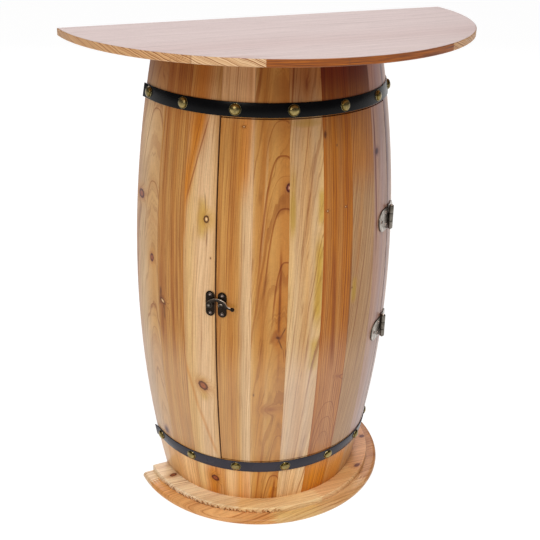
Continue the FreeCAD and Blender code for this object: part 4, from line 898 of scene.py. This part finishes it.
# the petal tones are partly a painted glare: the top's fir colour mixed with the pinkish pale of its varnish under the
# light from behind
TONES |= {"petal": "#C2B3AE", "petal_deep": "#BAA6A0", "petal_late": "#A08478"}
top_place = board_place("top_place", 0, 1, TOP_LEVEL)
top_fir = fir("fir_top", top_place, dict(
    gloss=0.42, sheen=0.42,
    bands=[(-150, "petal"), (-90, "petal"), (-40, "petal_deep"), (20, "petal"), (80, "petal"), (150, "petal")],
    pith=(420, 60, 0.01, 0.035), rings=(4.0, 0.3, "petal_late"),
    knots=[(-104, -158, 3, 9, 0, "soft")]), top_edge)
paint("table_top", top_fir)


# ---------------------------------------------------------------- hinges
# Two surface hinges of pressed steel, nickelled and dulled. Each leaf is a plate with a round end, and
# its knuckles are rolled round a pin that stands clear of the staves, so the door folds right back.

HINGE_ANGLE = 43.971
HINGE_STANDOFF = 3.2
LEAF_WIDTH, LEAF_HEIGHT, LEAF_THICKNESS = 38, 33, 1.5
LEAF_STEP = math.degrees(LEAF_WIDTH / 2 / GIRTH)
KNUCKLE_RADIUS, KNUCKLE_GAP = 3.6, 0.4
TAB_WIDTH = 4.4
HINGE_LENGTH = 35
HINGE_LEVELS = {"lower_hinge": 281, "upper_hinge": 459}

# nickel plate gone dull: warm grey with darker patches of about 8 mm, painted shade at every leaf's rim, and darker on
# the knuckles and their tabs
nickel, tree, surface = new_material("dulled_nickel")
node = partial(add, tree)
spot = node("TexCoord").outputs["Object"]
tarnish = node("TexNoise", spot, None, 130.0, 3.0, 0.6)
rim = node("Attribute", attribute_name="wear_and_painted_light").outputs["Fac"]
brushed = node("TexNoise", node("Mapping", spot, None, None, (60, 60, 1500)), None, 1.0, 2.0, 0.5)
colour = set_stops(node("ValToRGB", tarnish), [(0.3, "#7A7268", 1), (0.5, "#A69E94", 1), (0.7, "#C6BEB4", 1)])
# painted shade round each leaf's rim, where the attribute is high; the knuckles and their tabs are darkened the same
# way
colour = node("MixRGB", node("MULTIPLY", rim, 0.8), colour, linear("#2A261C"))
rough = node("MapRange", tarnish, 0.3, 0.7, 0.42, 0.24)
finish_shader(tree, surface, Base_Color=colour, Metallic=1.0, Roughness=rough,
              Normal=node("Bump", 0.1, 0.0003, None, brushed))


def plate(outline, thickness, bevel=0.3):
    """A flat plate with a softened upper edge.

    outline(inset) gives the closed outline, drawn in by inset, as points x 2.
    """
    rows = []
    for inset, height in ((None, thickness), (bevel * 1.6, thickness), (bevel * 0.6, thickness - bevel * 0.25),
                          (bevel * 0.15, thickness - bevel * 0.7), (0, thickness - bevel * 1.2), (0, 0), (None, 0)):
        points = outline(inset or 0)
        if inset is None:
            points = points * 0 + points.mean(axis=0)
        rows.append(np.column_stack([points, np.full(len(points), height)]))
    return np.stack(rows)


PLATE_RIM_PAINTED_SHADE = np.array([0, 0, 0.7, 1, 1, 1, 1])[:, None]


def leaf_outline(side, near):
    """Outline of a leaf from its edge beside the knuckles to its round end; side is 1 or -1."""
    def outline(inset):
        turn = np.linspace(-np.pi / 2, np.pi / 2, 41)
        radius = LEAF_HEIGHT / 2 - inset
        shoulder = LEAF_WIDTH / 2 - LEAF_HEIGHT / 2
        bend = np.stack([shoulder + radius * np.cos(turn), radius * np.sin(turn)], -1)
        straight = np.linspace(radius, -radius, 21)
        edge = np.stack([0 * straight + near + inset, straight], -1)
        return np.vstack([bend, edge]) * (side, 1)
    return outline


def box_outline(low, high, bottom, top):
    """A rectangle's outline with ten points a side."""
    def outline(inset):
        corners = np.array([(low, bottom), (high, bottom), (high, top), (low, top)])
        share = np.linspace(0, 1, 10, endpoint=False)[:, None]
        sides = zip(corners, np.roll(corners, -1, axis=0))
        points = np.vstack([first + (last - first) * share for first, last in sides])
        middle, size = corners.mean(axis=0), corners[2] - corners[0]
        return middle + (points - middle) * (1 - 2 * inset / size)
    return outline


def knuckle(bottom, top):
    """A rolled knuckle between two heights above the hinge's lower end, with eased rims."""
    return turned([(0, bottom), (KNUCKLE_RADIUS - 0.45, bottom), (KNUCKLE_RADIUS - 0.1, bottom + 0.15),
                   (KNUCKLE_RADIUS, bottom + 0.5), (KNUCKLE_RADIUS, top - 0.5), (KNUCKLE_RADIUS - 0.1, top - 0.15),
                   (KNUCKLE_RADIUS - 0.45, top), (0, top)], 40)


third = HINGE_LENGTH / 3
side_knuckles = [(0, third - KNUCKLE_GAP / 2), (2 * third + KNUCKLE_GAP / 2, HINGE_LENGTH)]
door_knuckles = [(third + KNUCKLE_GAP / 2, 2 * third - KNUCKLE_GAP / 2)]
hinge_radians = math.radians(HINGE_ANGLE)
axis_radius = GIRTH + HINGE_STANDOFF
axis_foot = np.array([axis_radius * math.sin(hinge_radians), BACK - axis_radius * math.cos(hinge_radians), 0])
near_axis = -LEAF_WIDTH / 2 + 0.8
for name, level_mm in HINGE_LEVELS.items():
    for leaf, side, knuckles, body in (("side_leaf", 1, side_knuckles, "cabinet"),
                                       ("door_leaf", -1, door_knuckles, "door")):
        place = seat(HINGE_ANGLE + side * LEAF_STEP, level_mm, 0)
        parts = [seated(plate(leaf_outline(side, near_axis + KNUCKLE_RADIUS), LEAF_THICKNESS), *place)]
        wear_and_painted_light = [PLATE_RIM_PAINTED_SHADE]
        for bottom, top in knuckles:
            parts.append(knuckle(bottom, top) + axis_foot + (0, 0, level_mm - HINGE_LENGTH / 2))
            # the knuckles and their tabs are darkened with the same mix
            wear_and_painted_light += [np.array([1, 1, 1, 0.7, 0.7, 1, 1, 1])[:, None], 0.9]
            ends = bottom - HINGE_LENGTH / 2, top - HINGE_LENGTH / 2
            tab = plate(box_outline(near_axis, near_axis + TAB_WIDTH, *ends), LEAF_THICKNESS, 0.1)
            parts.append(seated(tab * (side, 1, 1), *place))
        closed_piece(f"{name}_{leaf}_pressed", nickel, body, "hinge_metal", *parts, wear_and_painted_light=wear_and_painted_light,
                     stands_for=[f"{name}_{leaf}"])
    paint(name + "_pin", nickel)


# ---------------------------------------------------------------- latch
# A cast hook latch in dark antique bronze, with a painted highlight along the edges that face the light: a
# plate with the hook on a rivet at the left of the door gap, and a keeper plate with a stud on the door.

LATCH_ANGLE = math.radians(-42.571)
PLATE_WIDTH, PLATE_HEIGHT, PLATE_THICKNESS = 13, 38, 1.2
HOOK_X, KEEPER_X, STUD_X = -8.2, 9.4, 8.4
HOOK_LIFT, HOOK_THICKNESS = 2.7, 2.6

latch_foot = np.array([GIRTH * math.sin(LATCH_ANGLE), BACK - GIRTH * math.cos(LATCH_ANGLE), MIDDLE])
latch_axes = (np.array([math.cos(LATCH_ANGLE), math.sin(LATCH_ANGLE), 0]), np.array([0, 0, 1]),
              np.array([math.sin(LATCH_ANGLE), -math.cos(LATCH_ANGLE), 0]))

# bronze blackened in a bath: almost black in the flats, and silvery where a painted highlight is laid on the
# arrises and tops that face the light. The cast skin has grains of 3 mm.
bronze, tree, surface = new_material("antique_bronze")
node = partial(add, tree)
spot = node("TexCoord").outputs["Object"]
patina = node("TexNoise", spot, None, 300.0, 3.0, 0.6)
painted_highlight = node("Attribute", attribute_name="wear_and_painted_light").outputs["Fac"]
dark = node("MixRGB", patina, linear("#16110E"), linear("#332A22"))
colour = node("MixRGB", painted_highlight, dark, linear("#D6CABC"))
finish_shader(tree, surface, Base_Color=colour, Metallic=1.0, Roughness=node("MapRange", patina, 0.3, 0.7, 0.34, 0.5),
              Normal=node("Bump", 0.15, 0.0003, None, patina))


def on_latch(shape, x=0, y=0, lift=0):
    """A shape drawn flat, moved to a place on the latch's plane."""
    return seated(shape + (x, y, lift), latch_foot, latch_axes)


def plate_outline(inset):
    """A long plate's outline with half-round ends."""
    turn = np.linspace(0, 2 * np.pi, 72, endpoint=False)
    half = PLATE_WIDTH / 2 - inset
    rise = np.where(np.sin(turn) >= 0, 1, -1) * (PLATE_HEIGHT - PLATE_WIDTH) / 2
    return np.stack([half * np.cos(turn), half * np.sin(turn) + rise], -1)


def arc(first, last, radius, count):
    """Points on the arc from first to last with its centre on the left for a positive radius."""
    first, last = np.array(first, float), np.array(last, float)
    chord = last - first
    length = np.hypot(*chord)
    left = np.array([-chord[1], chord[0]]) / length
    middle = (first + last) / 2 + left * math.copysign(math.sqrt(max(radius ** 2 - length ** 2 / 4, 0)), radius)
    start, end = (math.atan2(*(point - middle)[::-1]) for point in (first, last))
    sweep = (end - start) % (2 * np.pi) if radius > 0 else -((start - end) % (2 * np.pi))
    turn = start + sweep * np.linspace(0, 1, count)
    return middle + abs(radius) * np.stack([np.cos(turn), np.sin(turn)], -1)


def bar_between(lower, upper, thickness, radius):
    """A flat bar between two curves of as many points each, with rounded edges, as closed rows."""
    width = np.linalg.norm(upper - lower, axis=1)[:, None]
    way = (upper - lower) / width
    middle = (upper + lower) / 2
    round_radius = np.minimum(radius, width * 0.45)
    turn = np.linspace(0, np.pi / 2, 5)
    corner_x, corner_y = np.cos(turn), np.sin(turn)
    x = np.concatenate([corner_x, -corner_x[::-1], -corner_x, corner_x[::-1]])
    y = np.concatenate([corner_y, corner_y[::-1], -corner_y, -corner_y[::-1]])
    reach = np.repeat([1, -1, -1, 1], 5) * (width / 2 - round_radius) + x * round_radius
    height = np.repeat([1, 1, -1, -1], 5) * (thickness / 2 - round_radius) + y * round_radius
    points = middle[:, None, :] + reach[:, :, None] * way[:, None, :]
    rows = np.concatenate([points, height[:, :, None]], -1)
    ends = rows.mean(axis=1, keepdims=True)[[0, -1]] + 0 * rows[:1]
    return np.concatenate([ends[:1], rows, ends[1:]])


def spoke(radius, degrees, middle=(0, 0)):
    """The point at a radius and an angle round a middle."""
    turn = math.radians(degrees)
    return middle[0] + radius * math.cos(turn), middle[1] + radius * math.sin(turn)


bronze_plate = plate(plate_outline, PLATE_THICKNESS, 0.35)
closed_piece("latch_plate_cast", bronze, "cabinet", "latch_bronze", on_latch(bronze_plate, HOOK_X),
             stands_for=["latch_plate"])
stud = turned([(0, 5.6), (2.6, 5.55), (3.2, 5.3), (3.6, 4.7), (3.6, 3.9), (3.2, 3.4), (3.2, 0.6), (0, 0.6)])
# painted highlight: the stud is brightened on the side that faces up and a little left, towards the light
highlight_side = np.clip(1.5 * np.cos(np.linspace(0, 2 * np.pi, 32, endpoint=False) - 1.9) + 0.3, 0, 1)
stud_painted_highlight = np.array([0, 0.1, 0.8, 1, 1, 0.3, 0, 0])[:, None] * highlight_side
closed_piece("keeper_plate_cast", bronze, "door", "latch_bronze", on_latch(bronze_plate, KEEPER_X),
             on_latch(stud, STUD_X), wear_and_painted_light=[0, stud_painted_highlight], stands_for=["keeper_plate"])

# the hook's arm: from two points on its hub, over the stud, which its notch clears, and out to the finger
stud_at = STUD_X - HOOK_X
notch = 4.0
root = 4.7
low_root, high_root = spoke(root, 32), spoke(root, 139)
throat = (stud_at - 7, 7)
mouth, heel = spoke(notch, 120, (stud_at, 0)), spoke(notch, -15, (stud_at, 0))
finger_low = (stud_at + 17.4, -4.3)
finger_high = (stud_at + 17.2, -0.6)
crest = (stud_at + 7.4, 5.6)
lower_edge = np.vstack([arc(low_root, throat, 15, 16)[:-1], np.linspace(throat, mouth, 8)[:-1],
                        arc(mouth, heel, -notch, 16)[:-1], arc(heel, finger_low, 30, 16)])
crown = arc(crest, high_root, 19, 121)[::-1]
over = np.interp(np.arange(38), [0, 15, 22, 37], [0, 58, 84, 120]).round().astype(int)
dip = arc(finger_high, crest, -8.3, 16)[::-1]
upper_edge = np.vstack([crown[over], dip[1:]])
hook_arm = bar_between(lower_edge, upper_edge, HOOK_THICKNESS, 0.8)
finger_tip = turned([(0, 2.5), (1.8, 2.1), (2.9, 1.1), (3.3, 0), (2.9, -0.8), (1.8, -1.3), (0, -1.5)], 24)
hub = turned([(0, 5.8), (4.2, 5.8), (4.8, 5.55), (5, 5.1), (5, 1.9), (4.7, 1.5), (0, 1.5)])
# painted highlight along the hook arm's upper edge, and a faint one on top of the hub
arm_painted_highlight = np.array([1, 1, 0.6, 0.2, 0.05, 0, 0, 0, 0, 0, 0, 0, 0, 0, 0, 0, 0, 0.2, 0.7, 1])
hub_painted_highlight = np.array([0.02, 0.02, 0.1, 0.1, 0, 0, 0])[:, None]
closed_piece("latch_hook_cast", bronze, "hook", "latch_bronze",
             on_latch(hook_arm, HOOK_X, 0, HOOK_LIFT + HOOK_THICKNESS / 2),
             on_latch(finger_tip, HOOK_X + stud_at + 16.9, -2.9, HOOK_LIFT + HOOK_THICKNESS / 2),
             on_latch(hub, HOOK_X), wear_and_painted_light=[arm_painted_highlight, 0, hub_painted_highlight], stands_for=["latch_hook"])
# painted highlight on top of the rivet head
rivet = turned([(0, 7.4), (1.2, 7.3), (2.3, 6.95), (2.9, 6.5), (3, 6.2), (2.95, 6.1), (1.6, 6.1), (1.6, 0), (0, 0)])
closed_piece("hook_rivet_head", bronze, "cabinet", "latch_bronze", on_latch(rivet, HOOK_X),
             wear_and_painted_light=[np.array([0.5, 0.2, 0.05, 0, 0, 0, 0, 0, 0])[:, None]], stands_for=["hook_rivet"])


# ---------------------------------------------------------------- screws
# Small round-headed steel screws with a cross recess, three to a hinge leaf and two to a latch plate,
# turned in by hand. Their heads are dull, with a painted shade in the recess.

SCREW_RADIUS, SCREW_HEIGHT = 2.7, 1.1
RECESS_TURN = 0.35
RECESS_HALF, RECESS_REACH, RECESS_DEPTH = 0.6, 1.7, 0.6
LATCH_SCREWS = 14, -14
LEAF_SCREWS = (10, 9), (10, -9), (29, 0)

# bright steel, handled and dulled: light grey, faintly brown, with a painted shade in the recess and round the rim
steel, tree, surface = new_material("dull_steel")
node = partial(add, tree)
spot = node("TexCoord").outputs["Object"]
smear = node("TexNoise", spot, None, 500.0, 2.0, 0.6)
painted_recess_shade = node("Attribute", attribute_name="wear_and_painted_light").outputs["Fac"]
bright = node("MixRGB", smear, linear("#9C8A82"), linear("#D8C6BC"))
finish_shader(tree, surface, Base_Color=node("MixRGB", painted_recess_shade, linear("#241C18"), bright), Metallic=1.0,
              Roughness=node("MapRange", smear, 0.3, 0.7, 0.3, 0.42))

radius = np.linspace(0, 1, 19)[:, None] * SCREW_RADIUS
angle = np.linspace(0, 2 * np.pi, 48, endpoint=False)[None, :] + RECESS_TURN
x, y = radius * np.cos(angle - RECESS_TURN), radius * np.sin(angle - RECESS_TURN)
dome = SCREW_HEIGHT / 3 + SCREW_HEIGHT * 2 / 3 * np.sqrt(np.clip(1 - (radius / SCREW_RADIUS) ** 2, 0, 1)) + 0 * angle
cross = np.clip((RECESS_HALF - np.minimum(abs(x), abs(y))) / 0.2, 0, 1)
cross *= np.clip((RECESS_REACH - np.maximum(abs(x), abs(y))) / 0.3, 0, 1)
head = np.stack([radius * np.cos(angle), radius * np.sin(angle), dome - RECESS_DEPTH * cross], -1)
skirt = turned([(SCREW_RADIUS, 0), (1.4, 0), (1.4, -1.1), (0, -1.1)], 48)
screw = np.concatenate([head, skirt])
# painted shade in the cross recess, round the rim and under the head
screw_painted_shade = np.concatenate([np.maximum(cross, np.clip((radius - 2.35) / 0.3, 0, 1)), np.ones((4, 48))])

for plate_name, body, plate_x in (("latch_plate", "cabinet", HOOK_X), ("keeper", "door", KEEPER_X)):
    heads = [on_latch(screw, plate_x, up, PLATE_THICKNESS) for up in LATCH_SCREWS]
    closed_piece(plate_name + "_screw_heads", steel, body, "screw_steel", *heads,
                 wear_and_painted_light=[screw_painted_shade] * len(heads), stands_for=[plate_name + "_screws"])
for name, side, body in (("hinge_side_screws", 1, "cabinet"), ("hinge_door_screws", -1, "door")):
    leaf_angle = HINGE_ANGLE + side * LEAF_STEP
    heads = [seated(screw, *seat(leaf_angle, level_mm, LEAF_THICKNESS, side * (along_mm - LEAF_WIDTH / 2), up))
             for level_mm in HINGE_LEVELS.values() for along_mm, up in LEAF_SCREWS]
    closed_piece(name + "_heads", steel, body, "screw_steel", *heads, wear_and_painted_light=[screw_painted_shade] * len(heads), stands_for=[name])


# ---------------------------------------------------------------- boards inside
# Half-round fir boards, planed and left bare. The top and base board close the barrel and carry the
# staves. The ceiling and floor board reach behind the door's upper and lower edge and stop the door.

TONES |= {"bare": "#E6C89E", "bare_deep": "#D8B484", "bare_late": "#C49460"}


def bare_board(name, place, **board):
    """Gives a board inside its bare fir: the same wood, without the varnish's depth of colour."""
    paint(name, fir(f"bare_fir_{name}", place, board))


for name, top_mm, pith in (("top_board", 720, (40, 74, 0.03, 0.02)), ("ceiling_board", 636, (118, 86, 0.06, 0.0)),
                           ("floor_board", 105, (12, 80, 0.05, -0.03)), ("base_board", 32, (90, 70, 0.02, 0.03))):
    bare_board(name, board_place(f"{name}_place", 0, 1, top_mm),
               bands=[(-60, "bare"), (-12, "bare_deep"), (30, "bare"), (78, "bare_deep"), (150, "bare")],
               pith=pith, rings=(4.4, 0.6, "bare_late"), knots=[(pith[0] - 26, pith[0] - 60, 4, 7, 15, "red")])


# ---------------------------------------------------------------- middle shelf
# One half-round fir board that lies loose on two cleats, with its straight edge against the back panel.
# The cleats are sawn to the curve of the staves and screwed to them beside the door.

bare_board("middle_shelf", board_place("shelf_place", 0, 1, 376),
           bands=[(-40, "bare_deep"), (0, "bare"), (46, "bare"), (100, "bare_deep"), (150, "bare")],
           pith=(64, 92, 0.07, 0.02), rings=(4.0, 0.6, "bare_late"),
           knots=[(24, 96, 5, 8, 0, "dark"), (96, -88, 3, 5, 20, "red")])
cleat_place = board_place("cleat_place", 1, 0, 364)
for name in ("left_shelf_cleat", "right_shelf_cleat"):
    bare_board(name, cleat_place, bands=[(-190, "bare"), (-150, "bare_deep"), (150, "bare"), (190, "bare_deep")],
               pith=(20, 110, 0.0, 0.4), rings=(3.4, 0.7, "bare_late"))


# ---------------------------------------------------------------- door battens
# Two battens hold the six staves of the door together. Each is sawn from thick fir to the curve of the
# staves' inner face, so its grain runs from side to side, and is glued and screwed to every stave.

batten_place, given, taken = new_group("batten_place", [], ["Across", "Depth", "Along"])
round_mm, inward, up_mm = add(batten_place, "Group", node_tree=stave_place).outputs
close_group(batten_place, taken, Across=up_mm, Depth=inward, Along=round_mm)
for name, level_mm in (("upper_door_batten", 567), ("lower_door_batten", 162)):
    bare_board(name, batten_place,
               bands=[(level_mm - 16, "bare_deep"), (level_mm, "bare"), (level_mm + 16, "bare_deep")],
               pith=(level_mm - 40, 60, 0.04, 0.05), rings=(3.8, 0.7, "bare_late"))


# ---------------------------------------------------------------- back panel
# A sheet of thin three-ply let in between the back edges of the last staves. Its faces are rotary-cut
# veneer with a wide wandering grain, and its sawn edges show the middle ply and the two glue lines.

SHEET_MIDDLE = BACK - 2.5
HALF_PLY = 0.85


def plies(node, colour):
    """The sheet's edge: a darker middle ply between two glue lines."""
    y = node("SeparateXYZ", node("TexCoord").outputs["Object"]).outputs[1]
    inward = node("SUBTRACT", node("MULTIPLY", y, 1000), SHEET_MIDDLE)
    off = node("ABSOLUTE", inward)
    middle_ply = node("MapRange", off, HALF_PLY - 0.1, HALF_PLY, 0.5, 0.0)
    colour = node("MixRGB", middle_ply, colour, linear("#A8784A"))
    glue = node("MapRange", node("ABSOLUTE", node("SUBTRACT", off, HALF_PLY)), 0.05, 0.15, 0.7, 0.0)
    return node("MixRGB", glue, colour, linear("#5A3A20"))


TONES |= {"veneer": "#E2C8A4", "veneer_deep": "#D6B68C", "veneer_late": "#C8A47C"}
panel = fir("three_ply_sheet", board_place("panel_place", 2, 0, BACK, 1), dict(
    bands=[(-190, "veneer"), (-120, "veneer_deep"), (-40, "veneer"), (50, "veneer_deep"), (120, "veneer"),
           (190, "veneer_deep")],
    pith=(30, 150, 0.09, 0.02), rings=(2.6, 0.5, "veneer_late"), knots=[(-88, 512, 5, 9, 0, "dark")]), plies)
paint("back_panel", panel)
